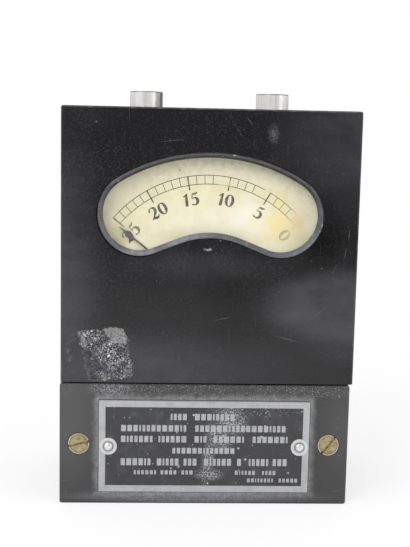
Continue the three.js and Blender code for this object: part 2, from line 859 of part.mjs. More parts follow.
function zeroAdjuster() {
  const depths = [adjusterFront, adjusterBack];
  const ring = rodY(adjusterRing, depths, 0, 0, roundSides);
  const arm = block([-adjusterReach, 0], depths, [-adjusterArm / 2, adjusterArm / 2]);
  const anchor = springAnchor([adjusterFront, frontSpring + springHeight], 0);
  const bore = rodY(jewelRadius + screwPlay, [0, caseDepth], 0, 0, smallSides);
  return cut(join(ring, arm, anchor), bore);
}

// A flat spiral whose outer end lies at the left, at height z.
function hairspring(y, z) {
  const steps = springTurns * stepsPerTurn;
  const side = (half) => Array.from({ length: steps + 1 }, (_, i) => {
    const angle = Math.PI - (steps - i) * 2 * Math.PI / stepsPerTurn;
    const radius = springInner + springPitch * i / stepsPerTurn + half;
    return new THREE.Vector2(radius * Math.cos(angle), z + radius * Math.sin(angle));
  });
  const outline = new THREE.Shape([...side(springThick / 2), ...side(-springThick / 2).reverse()]);
  return slab(outline, [y, y + springHeight]);
}

// Moving system, drawn with the pointer straight up and the pivot line through the origin

function movingCoil() {
  const zs = [-coilWidth / 2, coilWidth / 2];
  const outer = block([-coilOuter, coilOuter], [coilFront, coilBack], zs);
  const opening = [coilFront + coilEnd, coilBack - coilEnd];
  const inner = block([-coilInner, coilInner], opening, [-coilWidth, coilWidth]);
  return cut(outer, inner);
}

function pivot(tip, coilFace) {
  const way = Math.sign(coilFace - tip);
  const flangeEnd = coilFace - way * layerGap;
  const flangeStart = flangeEnd - way * flangeThick;
  const start = tip + way * layerGap;
  return turnedY([
    [0, start],
    [staffRadius / 2, start + way * staffRadius / 2],
    [staffRadius, start + way * staffRadius],
    [staffRadius, flangeStart],
    [flangeRadius, flangeStart],
    [flangeRadius, flangeEnd],
    [0, flangeEnd],
  ], 0, 0, smallSides);
}

function balanceCross() {
  const depths = [crossFront, crossBack];
  const half = crossArm / 2;
  const hub = rodY(crossHub, depths, 0, 0, roundSides);
  const upright = block([-half, half], depths, [-crossTail, crossStub]);
  const across = block([-crossSide, crossSide], depths, [-half, half]);
  const bore = rodY(staffRadius + fitGap, [0, caseDepth], 0, 0, smallSides);
  return cut(join(hub, upright, across), bore);
}

function pointer() {
  const half = pointerWidth / 2;
  const blade = new THREE.Shape([
    new THREE.Vector2(-half, pointerCrank - pointerThick),
    new THREE.Vector2(half, pointerCrank - pointerThick),
    new THREE.Vector2(half, spadeFoot),
    new THREE.Vector2(spadeWidth / 2, spadeWidest),
    new THREE.Vector2(half, spadeHead),
    new THREE.Vector2(pointerPoint / 2, pointerTip),
    new THREE.Vector2(-pointerPoint / 2, pointerTip),
    new THREE.Vector2(-half, spadeHead),
    new THREE.Vector2(-spadeWidth / 2, spadeWidest),
    new THREE.Vector2(-half, spadeFoot),
  ]);
  const rootBack = crossFront - fitGap;
  const rootFront = rootBack - pointerThick;
  const root = block([-half, half], [rootFront, rootBack], [pointerRoot, pointerCrank]);
  const rise = block([-half, half], [pointerPlane, rootBack], [pointerCrank - pointerThick, pointerCrank]);
  return join(slab(blade, [pointerPlane, pointerPlane + pointerThick]), root, rise);
}

// The sum of height times volume over a solid.
function heightMoment(body) {
  const mesh = body.getMesh();
  const [a, b, c] = [new THREE.Vector3(), new THREE.Vector3(), new THREE.Vector3()];
  let sum = 0;
  for (let i = 0; i < mesh.triVerts.length; i += 3) {
    a.fromArray(mesh.vertProperties, mesh.triVerts[i] * 3);
    b.fromArray(mesh.vertProperties, mesh.triVerts[i + 1] * 3);
    c.fromArray(mesh.vertProperties, mesh.triVerts[i + 2] * 3);
    const middle = (a.z + b.z + c.z) / 4;
    sum += middle * a.dot(b.cross(c)) / 6;
  }
  return sum;
}

// The nut sits on the tail where it balances the pointer and the cross on the pivot line.
function balanceNut(pointerBody, crossBody) {
  const bore = crossArm / Math.SQRT2 + layerGap / 2;
  const nut = turnedZ([
    [bore, -nutLength / 2],
    [nutRadius, -nutLength / 2],
    [nutRadius, nutLength / 2],
    [bore, nutLength / 2],
    [bore, -nutLength / 2],
  ], 0, (crossFront + crossBack) / 2, smallSides);
  const load = heightMoment(pointerBody) * aluminiumDensity + heightMoment(crossBody) * brassDensity;
  const reach = load / (nut.volume() * brassDensity);
  return nut.translate([0, 0, -reach]);
}

// Contact studs

function contactStud(x) {
  const foot = caseHeight + seatGap;
  const top = foot + studRise;
  const low = ceiling - studShankLength;
  return turnedZ([
    [0, low],
    [studShank, low],
    [studShank, foot],
    [studRadius, foot],
    [studRadius, top - studChamfer],
    [studRadius - studChamfer, top],
    [0, top],
  ], x, studY, roundSides);
}

function solderLug(x) {
  const zs = [ceiling - seatGap - lugThick, ceiling - seatGap];
  const side = Math.sign(x);
  const tail = [x, x + side * lugReach].sort((a, b) => a - b);
  const washer = rodZ(lugRadius, zs, x, studY, roundSides);
  const tongue = block(tail, [studY - lugTail / 2, studY + lugTail / 2], zs);
  return cut(join(washer, tongue), rodZ(studShank + fitGap, [0, caseHeight], x, studY, smallSides));
}

function studNut(x) {
  const high = ceiling - lugThick - 2 * seatGap;
  const corner = studNutAcross / 2 / Math.cos(Math.PI / 6);
  const blank = rodZ(corner, [high - studNutThick, high], x, studY, nutSides);
  return cut(blank, rodZ(studShank + fitGap, [0, caseHeight], x, studY, smallSides));
}

// Battery and circuit

function batteryCell() {
  const half = cellLength / 2;
  return turnedX([
    [0, -half],
    [cellRadius - cellEdge, -half],
    [cellRadius, cellEdge - half],
    [cellRadius, half - cellEdge],
    [cellRadius - cellEdge, half],
    [cellCapRadius, half],
    [cellCapRadius, half + cellCapLength],
    [0, half + cellCapLength],
  ], cellCentreY, cellZ, fineSides);
}

// A strip that stands in the shelf's slot, with a foot under the shelf and a bump against the cell.
function batteryClip(side) {
  const depths = [cellCentreY - clipWidth / 2, cellCentreY + clipWidth / 2];
  const across = (near, far) => [side * near, side * far].sort((a, b) => a - b);
  const strip = block(across(clipX, clipX + clipThick), depths, [clipLow, shelfTop + clipRise]);
  const footTop = shelfLow - seatGap;
  const foot = block(across(clipX, clipX + clipFoot), depths, [footTop - clipThick, footTop]);
  const reach = side < 0 ? cellLength / 2 + layerGap : cellLength / 2 + cellCapLength + layerGap;
  const bump = rodX(cellCapRadius, across(reach, clipX + clipThick / 2), cellCentreY, cellZ, smallSides);
  return join(strip, foot, bump);
}

// The right-hand strip bends over above the shelf and runs to the resistance spool.
function spoolStrip() {
  const high = shelfTop + clipRise;
  const depths = [spoolY, cellCentreY + clipWidth / 2];
  return block([spoolRadius + fitGap, clipX + clipThick / 2], depths, [high - clipThick, high]);
}

function resistorSpool() {
  const low = shelfTop + seatGap;
  const high = low + spoolHeight;
  return turnedZ([
    [spoolBore, low],
    [spoolRadius, low],
    [spoolRadius, low + spoolFlange],
    [spoolCore, low + spoolFlange],
    [spoolCore, high - spoolFlange],
    [spoolRadius, high - spoolFlange],
    [spoolRadius, high],
    [spoolBore, high],
    [spoolBore, low],
  ], 0, spoolY, roundSides);
}

// The first two points of a lead that hangs from the end of a solder lug.
function lugPoints(side) {
  const x = side * (studSpread + lugReach - leadRadius);
  const z = ceiling - seatGap - lugThick - fitGap;
  return [[x, studY, z], [x, studY, z - 3 * leadRadius]];
}

function leadStudToBattery() {
  const x = magnetOuter + leadEnd;
  const front = magnetFront - 4 * leadRadius;
  const clipTop = shelfTop + clipRise + fitGap;
  const clipMiddle = -clipX - clipThick / 2;
  return lead([
    ...lugPoints(-1),
    [-x, studY - lugReach, ceiling - 2 * lugReach],
    [-x, front, postHigh - 2 * leadEnd],
    [-x, front, (postHigh + postLow) / 2],
    [-x, front, postLow + postRadius],
    [-x, front + leadEnd, clipTop + 4 * leadRadius],
    [clipMiddle, (front + cellCentreY) / 2, clipTop + 3 * leadRadius],
    [clipMiddle, cellCentreY, clipTop + 2 * leadRadius],
    [clipMiddle, cellCentreY, clipTop],
  ]);
}

function leadSpoolToBridge() {
  const bridgeLow = pivotHeight - bridgeWidth / 2;
  const y = (frontBridgeFace + frontBridgeBack) / 2;
  const x = (bridgeHalfSpan + jewelRadius) / 2;
  return lead([
    [0, spoolY - spoolRadius - fitGap, shelfTop + spoolHeight / 2],
    [0, spoolY - spoolRadius - leadEnd, shelfTop + spoolHeight / 2],
    [-x / 2, y + 2 * leadEnd, bridgeLow - bridgeWidth],
    [-x, y, bridgeLow - 3 * leadEnd],
    [-x, y, bridgeLow - fitGap],
  ]);
}

function leadBridgeToStud() {
  const y = (plateBack + rearBridgeFront) / 2 + leadRadius;
  const start = bridgeHalfSpan + fitGap;
  const over = postHigh + postRadius + leadEnd;
  return lead([
    [start, y, pivotHeight],
    [start + 2 * leadRadius, y, pivotHeight],
    [start + 4 * leadEnd, y, pivotHeight + bridgeWidth],
    [magnetOuter, y, magnetArchHeight],
    [magnetOuter, y, postHigh],
    [magnetOuter, y - leadEnd, over],
    [magnetOuter, bossFront - leadEnd, over],
    ...lugPoints(1).reverse(),
  ]);
}

// Materials

function material(color, roughness, metalness) {
  return new THREE.MeshStandardMaterial({ color, roughness, metalness });
}

const phenolic = () => material(0x1b1b1d, 0.35, 0);
const coverPhenolic = () => material(0x2c2c2e, 0.5, 0);
const bezelGrey = () => material(0x55555c, 0.5, 0);
const brass = () => material(0xb08d45, 0.45, 1);
const nickel = () => material(0xb9b7b2, 0.35, 1);
const aluminium = () => material(0xa9abac, 0.5, 1);
const iron = () => material(0x5c5d60, 0.55, 1);
const cream = () => material(0xe6dcbc, 0.75, 0);
const copper = () => material(0x9a4a26, 0.4, 1);
const darkMetal = () => material(0x242426, 0.5, 0.6);
const paper = () => material(0x8a6b4a, 0.85, 0);
const insulation = () => material(0x5b2018, 0.7, 0);

function clearGlass() {
  const glass = material(0xf2f5f2, 0.05, 0);
  glass.transparent = true;
  glass.opacity = 0.2;
  return glass;
}

// Assembly

const galvanometer = new THREE.Group();
galvanometer.position.y = (standOut - caseDepth) / 2;

function add(parent, name, body, look) {
  const mesh = new THREE.Mesh(surface(body), look);
  mesh.name = name;
  parent.add(mesh);
  return mesh;
}

const sides = ['left', 'right'];

add(galvanometer, 'case_shell', caseShell(), phenolic());
add(galvanometer, 'back_plate', backPlate(), phenolic());
backScrewPlaces().forEach(([x, z], i) => {
  const body = screw(backScrew, x, caseDepth - screwRecess, z, -1, slotAngle(backSlots, i));
  add(galvanometer, `back_screw_${i + 1}`, body, brass());
});

add(galvanometer, 'battery_cover', batteryCover(), coverPhenolic());
coverScrewPlaces().forEach((place, i) => {
  const [x, z] = place;
  const body = screw(coverScrew, x, screwRecess, z, 1, slotAngle(coverSlots, i));
  add(galvanometer, `cover_screw_${sides[i]}`, body, brass());
  add(galvanometer, `cover_insert_${sides[i]}`, coverInsert(place), brass());
});
add(galvanometer, 'nameplate', nameplate(), aluminium());
rivetPlaces().forEach((place, i) => {
  add(galvanometer, `nameplate_rivet_${sides[i]}`, nameplateRivet(place), aluminium());
});

add(galvanometer, 'window_bezel', windowBezel(), bezelGrey());
add(galvanometer, 'window_glass', windowGlass(), clearGlass());
add(galvanometer, 'glass_retainer', glassRetainer(), darkMetal());

add(galvanometer, 'dial_plate', dialPlate(), cream());
earPlaces().forEach((place, i) => {
  const [x, z] = place;
  const head = dialFace - seatGap - dialScrew.pan;
  const body = screw(dialScrew, x, head, z, 1, slotAngle(dialSlots, i));
  add(galvanometer, `dial_screw_${sides[i]}`, body, brass());
  add(galvanometer, `dial_pillar_${sides[i]}`, dialPillar(place), brass());
});

add(galvanometer, 'magnet', magnet(), iron());
add(galvanometer, 'pole_piece_left', polePiece(-1), iron());
add(galvanometer, 'pole_piece_right', polePiece(1), iron());
add(galvanometer, 'iron_core', ironCore(), iron());
add(galvanometer, 'core_support', coreSupport(), brass());
add(galvanometer, 'movement_plate', movementPlate(), brass());
postPlaces().forEach(([x, z], i) => {
  const head = plateBack + seatGap + movementScrew.pan;
  const body = screw(movementScrew, x, head, z, -1, slotAngle(movementSlots, i));
  add(galvanometer, `movement_screw_${i + 1}`, body, nickel());
});
add(galvanometer, 'front_bridge', frontBridge(), brass());
add(galvanometer, 'rear_bridge', rearBridge(), brass());
[-1, 1].forEach((side, i) => {
  const head = frontBridgeFace - seatGap - bridgeScrew.pan;
  const body = screw(bridgeScrew, side * bridgeScrewX(), head, pivotHeight, 1, slotAngle(bridgeSlots, i));
  add(galvanometer, `front_bridge_screw_${sides[i]}`, body, nickel());
});
add(galvanometer, 'jewel_screw_front', jewelScrew(frontBridgeFace - jewelStandOut, 1), brass());
add(galvanometer, 'jewel_screw_rear', jewelScrew(rearBridgeBack + jewelStandOut, -1), brass());
add(galvanometer, 'hairspring_rear', hairspring(rearSpring, pivotHeight), brass());

const adjuster = new THREE.Group();
adjuster.position.z = pivotHeight;
galvanometer.add(adjuster);
add(adjuster, 'zero_adjuster', zeroAdjuster(), brass());
add(adjuster, 'hairspring_front', hairspring(frontSpring, 0), brass());

const movingSystem = new THREE.Group();
movingSystem.position.z = pivotHeight;
movingSystem.rotation.y = restTilt * degree;
galvanometer.add(movingSystem);
const pointerBody = pointer();
const crossBody = balanceCross();
add(movingSystem, 'moving_coil', movingCoil(), copper());
add(movingSystem, 'pivot_front', pivot(frontJewelTip, coilFront), nickel());
add(movingSystem, 'pivot_rear', pivot(rearJewelTip, coilBack), nickel());
add(movingSystem, 'balance_cross', crossBody, brass());
add(movingSystem, 'pointer', pointerBody, darkMetal());
add(movingSystem, 'balance_nut', balanceNut(pointerBody, crossBody), brass());

[-studSpread, studSpread].forEach((x, i) => {
  add(galvanometer, `contact_stud_${sides[i]}`, contactStud(x), nickel());
  add(galvanometer, `stud_nut_${sides[i]}`, studNut(x), brass());
  add(galvanometer, `solder_lug_${sides[i]}`, solderLug(x), brass());
});

add(galvanometer, 'battery_cell', batteryCell(), paper());
add(galvanometer, 'battery_clip_left', batteryClip(-1), brass());
add(galvanometer, 'battery_clip_right', join(batteryClip(1), spoolStrip()), brass());
add(galvanometer, 'resistor_spool', resistorSpool(), copper());
add(galvanometer, 'lead_stud_to_battery', leadStudToBattery(), insulation());
add(galvanometer, 'lead_spool_to_bridge', leadSpoolToBridge(), insulation());
add(galvanometer, 'lead_bridge_to_stud', leadBridgeToStud(), insulation());

export default galvanometer;
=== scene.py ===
# The looks of a blasting galvanometer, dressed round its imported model.
# Lengths and places are millimetres in the model's own frame unless a name says otherwise.
import math

import bmesh
import bpy
from mathutils import Matrix, Vector
from mathutils.geometry import tessellate_polygon
from mathutils.noise import noise as noise_at


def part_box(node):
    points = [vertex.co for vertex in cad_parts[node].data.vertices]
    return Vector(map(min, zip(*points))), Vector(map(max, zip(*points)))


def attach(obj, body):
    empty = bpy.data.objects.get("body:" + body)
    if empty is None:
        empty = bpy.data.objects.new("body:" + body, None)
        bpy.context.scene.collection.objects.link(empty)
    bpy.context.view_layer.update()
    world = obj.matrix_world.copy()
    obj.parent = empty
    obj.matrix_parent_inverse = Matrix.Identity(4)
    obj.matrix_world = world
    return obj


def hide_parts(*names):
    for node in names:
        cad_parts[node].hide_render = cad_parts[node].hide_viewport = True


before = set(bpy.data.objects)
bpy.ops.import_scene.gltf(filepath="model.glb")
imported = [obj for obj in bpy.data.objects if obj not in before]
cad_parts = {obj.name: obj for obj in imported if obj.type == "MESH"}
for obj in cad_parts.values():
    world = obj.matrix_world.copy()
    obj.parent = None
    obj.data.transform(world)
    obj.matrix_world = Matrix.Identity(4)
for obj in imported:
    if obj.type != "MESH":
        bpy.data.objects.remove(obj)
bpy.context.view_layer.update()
MM = 0.001
TURN = 2 * math.pi

# A turn of more degrees than this between two faces shows as an edge
SHARP = 35

# Camera, fitted to the edges that the photograph shows
CAMERA_PLACE = Vector((-15.3, -324, 112.4))
CAMERA_FORWARD = Vector((0.04584, 0.98987, -0.13437))
CAMERA_UP = Vector((-0.01495, 0.13518, 0.99071))
LENS = 66.5
SENSOR = 36

# What every lamp looks at
LAMP_TARGET = Vector((0, 0, 60))

# Window: arch, lobes and bump on one middle line
BEZEL_WIDTH = 1.5
ARCH_RADIUS = 51.5
LOBE_RADIUS = 11
WINDOW_HEIGHT = 22.35
WINDOW_FLANK = 8

# Dial print, in millimetres and degrees from the top of the arc
SCALE_OUTER = 37.45
SCALE_INNER = 34.8
SCALE_MAJOR = 33.3
SCALE_DIVISIONS = 25
SCALE_STEP = 4
SCALE_SHIFT = -0.5
SCALE_LOST = (6, 11)
SCALE_BREAK = (27.2, 29.6)
NUMBER_RADIUS = 30.5
NUMBER_HEIGHT = 3.8
PRINT_THICK = 0.02
# Half the width of the arcs, of every fifth stroke and of the others
ARC_HALF, LONG_HALF, SHORT_HALF = 0.11, 0.2, 0.1
# How far the dial's face lies behind the front of its screws
DIAL_SINK = 0.7

# The pointer's turn at rest, in degrees
REST_TILT = -51.9

# Nameplate
PLATE_BORDER = 2
PLATE_ETCH = 0.2
PLATE_CORNER = 0.3
PLATE_EDGE = 0.12
TAB_RADIUS = 2.65
PLATE_HOLE = 1.0
BLOCK_GAP = 0.42
BLOCK_WIDTHS = (1.35, 1.0, 1.5, 0.55, 1.2, 1.4, 0.9, 1.25)

# Where a dark streak starts on the left stud
STUD_STAIN = -17.2

# Scratches on the front: x, z, length and slope in degrees
SCRATCHES = [
    (-41, 50.8, 4.5, 29), (-40.4, 52.6, 3, 23), (7.4, 114.6, 5, -58), (11, 117, 3, -50), (40.6, 78, 4, 82),
    (37.4, 73.5, 3, 66), (41.6, 84, 3, 86), (24, 52, 9, -14), (4, 58, 5, 12), (-12, 111, 6, 8),
    (33, 60, 7, 35),
]

# The resistance wire's spacing on its spool
WIRE_PITCH = 0.34

# Residue of a torn-off label: a leaning patch on the front
RESIDUE_MIDDLE = (-30.7, 46.7)
RESIDUE_WIDTH = 14
RESIDUE_HEIGHT = 16.2
RESIDUE_LEAN = 0.19
RESIDUE_RISE = 0.167

# Rows of plain blocks in the nameplate's field: height above the part's foot, block height, and
# where the runs of blocks start and end
PLATE_ROWS = [
    (27.7, 2.0, [(-11, -5.2), (-3.6, 9.5)]),
    (24.1, 2.0, [(-26, -6.2), (-3.4, 25)]),
    (20.7, 2.0, [(-26, -16.4), (-14.6, -5.4), (-3.6, 0.2), (2.2, 12.4), (14.2, 25.3)]),
    (17.1, 1.8, [(-10.3, 9)]),
    (13.5, 2.2, [(-26, -16.6), (-15, -8.4), (-6.8, -2), (-0.6, 8), (9.6, 11.8), (13.2, 19.2), (20.6, 25.3)]),
    (10.2, 1.3, [(-22, -15.2), (-13.8, -9), (-7.4, -3.5), (9, 15.8), (17.4, 22)]),
    (7.8, 1.2, [(12.8, 20.8), (22.6, 28.5)]),
]


def corners(node):
    """A node's lowest and highest corner, in millimetres."""
    low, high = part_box(node)
    return low / MM, high / MM


def middle(node):
    low, high = corners(node)
    return (low + high) / 2


case_low, case_high = corners("case_shell")
FRONT = case_low.y


# Meshes


def link(name, data):
    """Puts an object with that data into the scene."""
    thing = bpy.data.objects.new(name, data)
    bpy.context.scene.collection.objects.link(thing)
    return thing


def shade(mesh, sharp=SHARP):
    """Shades a mesh smooth but for its edges sharper than that many degrees."""
    mesh.shade_smooth()
    mesh.set_sharp_from_angle(angle=math.radians(sharp))


class Shell:
    """The points and faces of one piece, and the number of each face's material."""

    def __init__(self):
        self.points = []
        self.faces = []
        self.paints = []

    def ring(self, points):
        start = len(self.points)
        self.points.extend(Vector(point) for point in points)
        return list(range(start, len(self.points)))

    def flat(self, outline, depth):
        """A ring of an outline in x and z."""
        return self.ring((x, depth, z) for x, z in outline)

    def wall(self, low, high, paint=0, closed=True):
        count = max(len(low), len(high))
        for i in range(count if closed else count - 1):
            j = (i + 1) % count
            if len(low) == 1:
                face = (low[0], high[j], high[i])
            elif len(high) == 1:
                face = (low[i], low[j], high[0])
            else:
                face = (low[i], low[j], high[j], high[i])
            self.faces.append(face)
            self.paints.append(paint)

    def walls(self, rings, paint=0, closed=True):
        for low, high in zip(rings, rings[1:]):
            self.wall(low, high, paint, closed)

    def cap(self, *rings, paint=0):
        flat = [index for ring in rings for index in ring]
        for face in tessellate_polygon([[self.points[i] for i in ring] for ring in rings]):
            self.faces.append(tuple(flat[i] for i in face))
            self.paints.append(paint)

    def prism(self, outlines, near, far, paint=0):
        """Outlines in x and z, the first one round the others, made solid from depth to depth."""
        fronts, backs = ([self.flat(outline, depth) for outline in outlines] for depth in (near, far))
        self.cap(*fronts, paint=paint)
        self.cap(*backs, paint=paint)
        for front, back in zip(fronts, backs):
            self.wall(front, back, paint)

    def turned(self, profile, centre, axis="Y", sides=64, paint=0, ends="capped"):
        """A profile of (radius, place along the axis), turned about a line through the centre."""
        rings = []
        for radius, along in profile:
            around = [i * TURN / sides for i in range(sides if radius else 1)]
            rings.append(self.ring(on_axis(radius, along, angle, centre, axis) for angle in around))
        if ends == "joined":
            rings.append(rings[0])
        self.walls(rings, paint)
        for ring in (rings[0], rings[-1]):
            if ends == "capped" and len(ring) > 1:
                self.cap(ring, paint=paint)

    def mesh(self, name, materials=()):
        """A mesh whose faces look outwards."""
        mesh = bpy.data.meshes.new(name)
        mesh.from_pydata([point * MM for point in self.points], [], self.faces)
        for coat in materials:
            mesh.materials.append(coat)
        mesh.polygons.foreach_set("material_index", self.paints)
        solid = bmesh.new()
        solid.from_mesh(mesh)
        bmesh.ops.recalc_face_normals(solid, faces=solid.faces)
        solid.to_mesh(mesh)
        solid.free()
        return mesh

    def piece(self, name, materials, body, slot, sharp=SHARP):
        mesh = self.mesh(name, materials)
        shade(mesh, sharp)
        thing = link(name, mesh)
        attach(thing, body)
        return thing


def on_axis(radius, along, angle, centre, axis):
    offset = [radius * math.cos(angle), radius * math.sin(angle)]
    offset.insert("XYZ".index(axis), along)
    return tuple(a + b for a, b in zip(centre, offset))


def arc(x, z, radius, start, end, steps, last=True):
    count = steps + 1 if last else steps
    turns = [start + (end - start) * i / steps for i in range(count)]
    return [(x + radius * math.cos(turn), z + radius * math.sin(turn)) for turn in turns]


def rounded_box(x0, x1, z0, z1, radius, steps=5):
    outline = []
    for i, (x, z) in enumerate(((x1 - radius, z1 - radius), (x0 + radius, z1 - radius),
                                (x0 + radius, z0 + radius), (x1 - radius, z0 + radius))):
        outline.extend(arc(x, z, radius, i * TURN / 4, (i + 1) * TURN / 4, steps))
    return outline


def eased(points, steps=8):
    """A smooth line through points of any number of values each."""
    line = []
    for i in range(len(points) - 1):
        near = [points[min(max(i + k, 0), len(points) - 1)] for k in (-1, 0, 1, 2)]
        for step in range(steps):
            t = step / steps
            line.append(tuple(
                q + 0.5 * t * (r - p + t * (2 * p - 5 * q + 4 * r - s + t * (3 * (q - r) + s - p)))
                for p, q, r, s in zip(*near)))
    line.append(tuple(points[-1]))
    return line


def stroke(points, steps=8):
    """The outline of a brush stroke through (x, z, half its width)."""
    line = eased(points, steps)
    left, right = [], []
    for i, (x, z, half) in enumerate(line):
        before, after = line[max(i - 1, 0)], line[min(i + 1, len(line) - 1)]
        way = Vector((after[0] - before[0], after[1] - before[1])).normalized()
        left.append((x - way.y * half, z + way.x * half))
        right.append((x + way.y * half, z - way.x * half))
    return left + right[::-1]


bezel_high = corners("window_bezel")[1]
arch_top = bezel_high.z - BEZEL_WIDTH
arch_z = arch_top - ARCH_RADIUS
lobe_x = bezel_high.x - BEZEL_WIDTH - LOBE_RADIUS
lobe_z = arch_z + math.sqrt((ARCH_RADIUS - LOBE_RADIUS) ** 2 - lobe_x ** 2)
bump_top = arch_top - WINDOW_HEIGHT
lobe_rise = lobe_z - bump_top
bump_chord = lobe_x ** 2 + lobe_rise ** 2 - LOBE_RADIUS ** 2 - WINDOW_FLANK ** 2
bump_radius = bump_chord / (2 * (LOBE_RADIUS - lobe_rise))
bump_z = bump_top - bump_radius


def window_outline(offset):
    """The window's outline, grown outwards by an offset."""
    shoulder = math.atan2(lobe_z - arch_z, lobe_x)
    lean = math.atan2(lobe_z - bump_z, lobe_x)
    apart = math.hypot(lobe_z - bump_z, lobe_x)
    bump_end = lean + math.acos((bump_radius + LOBE_RADIUS) / apart)
    lobe_end = bump_end - math.pi
    lobe = LOBE_RADIUS + offset
    return [
        *arc(0, arch_z, ARCH_RADIUS + offset, shoulder, math.pi - shoulder, 72, False),
        *arc(-lobe_x, lobe_z, lobe, math.pi - shoulder, math.pi - lobe_end, 56),
        *arc(0, bump_z, bump_radius - offset, math.pi - bump_end, bump_end, 40),
        *arc(lobe_x, lobe_z, lobe, lobe_end, shoulder, 56, False),
    ]


# Materials


class Node:
    """A node that a tree builds once, as soon as one of its results is put to use there."""

    def __init__(self, kind, inputs=(), **settings):
        self.kind = kind
        self.inputs = dict(inputs)
        self.settings = settings

    def __getitem__(self, output):
        return Value(self, output)


class Value:
    """A result of a node, to reckon with."""

    def __init__(self, node, output):
        self.node = node
        self.output = output

    def __add__(self, other):
        return reckon("ADD", self, other)

    def __sub__(self, other):
        return reckon("SUBTRACT", self, other)

    def __rsub__(self, other):
        return reckon("SUBTRACT", other, self)

    def __mul__(self, other):
        return reckon("MULTIPLY", self, other)

    def span(self, low, high, start=0.0, end=1.0):
        """Takes the value from low to high over to start to end, with soft ends."""
        ends = {"Value": self, "From Min": low, "From Max": high, "To Min": start, "To Max": end}
        return Node("ShaderNodeMapRange", ends, interpolation_type="SMOOTHSTEP")[0]


class Tree:
    """Builds the nodes whose results are put into the sockets of a node tree."""

    def __init__(self, tree):
        self.tree = tree
        self.built = {}

    def put(self, socket, value):
        """Links or sets a socket. A colour of one number is a grey."""
        if isinstance(value, Value):
            value = self.build(value.node).outputs[value.output]
        if isinstance(value, bpy.types.NodeSocket):
            self.tree.links.new(value, socket)
        elif socket.type == "RGBA":
            socket.default_value = (value, value, value, 1) if isinstance(value, float) else (*value, 1)
        else:
            socket.default_value = value

    def build(self, node):
        if node not in self.built:
            made = self.built[node] = self.tree.nodes.new(node.kind)
            for key, value in node.settings.items():
                setattr(made, key, value)
            for key, value in node.inputs.items():
                self.put(made.inputs[key], value)
        return self.built[node]


def reckon(operation, a, b=0.0):
    return Node("ShaderNodeMath", {0: a, 1: b}, operation=operation)[0]


def most(first, *others):
    """The greatest of some values at each place."""
    for other in others:
        first = reckon("MAXIMUM", first, other)
    return first


# A place on a piece, in millimetres in the piece's own frame
METRES = Node("ShaderNodeTexCoord")["Object"]
PLACE = Node("ShaderNodeVectorMath", {0: METRES, "Scale": 1 / MM}, operation="SCALE")[0]
SPLIT_PLACE = Node("ShaderNodeSeparateXYZ", {0: PLACE})
X, Y, Z = (SPLIT_PLACE[axis] for axis in "XYZ")


def turned_place(stretch=(1, 1, 1), turn=(0, 0, 0), shift=(0, 0, 0)):
    angles = tuple(math.radians(angle) for angle in turn)
    placing = {"Vector": PLACE, "Location": shift, "Rotation": angles, "Scale": stretch}
    return Node("ShaderNodeMapping", placing)[0]


def noise(size, detail=3.0, stretch=(1, 1, 1), turn=(0, 0, 0), shift=(0, 0, 0), warp=0.0):
    """Soft noise whose lumps are about that many millimetres wide."""
    place = turned_place(stretch, turn, shift)
    pattern = {"Vector": place, "Scale": 1 / size, "Detail": detail, "Distortion": warp}
    return Node("ShaderNodeTexNoise", pattern)[0]


def scratches(*kinds):
    """Long thin lines. Each kind has where its noise starts to show, a stretch, a slope and a shift."""
    return most(*(
        noise(1, 1, stretch, (0, slope, 0), shift).span(start, 0.78)
        for start, stretch, slope, shift in kinds))


def specks(spacing, size, share, shift=(0, 0, 0)):
    """Dots up to that size, one at most per cell of that spacing, in a share of the cells."""
    cells = Node("ShaderNodeTexVoronoi", {"Vector": turned_place(shift=shift), "Scale": 1 / spacing})
    chance = Node("ShaderNodeSeparateColor", {0: cells["Color"]})
    reach = reckon("POWER", chance[0], 3.0) * (size / spacing)
    dot = (reach - cells["Distance"]).span(0.0, 0.2 * size / spacing)
    return dot * reckon("LESS_THAN", chance[1], share)


def speckles(*kinds):
    return most(*(specks(*kind) for kind in kinds))


def blob(x, z, width, height, soft=1.0, turn=0.0):
    """1 inside an oval in x and z, falling to 0 outside it."""
    across, up = X - x, Z - z
    cos, sin = math.cos(math.radians(turn)), math.sin(math.radians(turn))
    sides = ((across * cos + up * sin, width / 2), (up * cos - across * sin, height / 2))
    along, aside = (reckon("POWER", reckon("DIVIDE", side, half), 2.0) for side, half in sides)
    return reckon("SQRT", along + aside).span(1 + soft / 2, 1 - soft / 2)


def blobs(*places):
    """Several ovals, each a strength and then what a blob takes."""
    return most(*(blob(*place) * strength for strength, *place in places))


def outside(x0, x1, z0, z1):
    """How far a place lies outside a box in x and z, less than 0 inside it."""
    return most(*(
        reckon("ABSOLUTE", value - (low + high) / 2) - (high - low) / 2
        for value, low, high in ((X, x0, x1), (Z, z0, z1))))


def layered(colour, *layers):
    """Layers of (how much, colour) over the first colour."""
    for share, layer in layers:
        # A mix node's seventh and eighth sockets are its colours, and its third result is one.
        colour = Node("ShaderNodeMix", {0: share, 6: colour, 7: layer}, data_type="RGBA")[2]
    return colour


def material(name, metallic, colour, roughness, height=0.0, depth=0.0, more=()):
    """A material, with a height from 0 to 1 that stands for a depth in millimetres."""
    made = bpy.data.materials.new(name)
    made.use_nodes = True
    surface = {"Metallic": metallic, "Base Color": colour, "Roughness": roughness, **dict(more)}
    if depth:
        bump = {"Height": height, "Distance": depth * MM, "Strength": 1.0}
        surface["Normal"] = Node("ShaderNodeBump", bump)[0]
    tree = Tree(made.node_tree)
    for key, value in surface.items():
        tree.put(made.node_tree.nodes["Principled BSDF"].inputs[key], value)
    return made


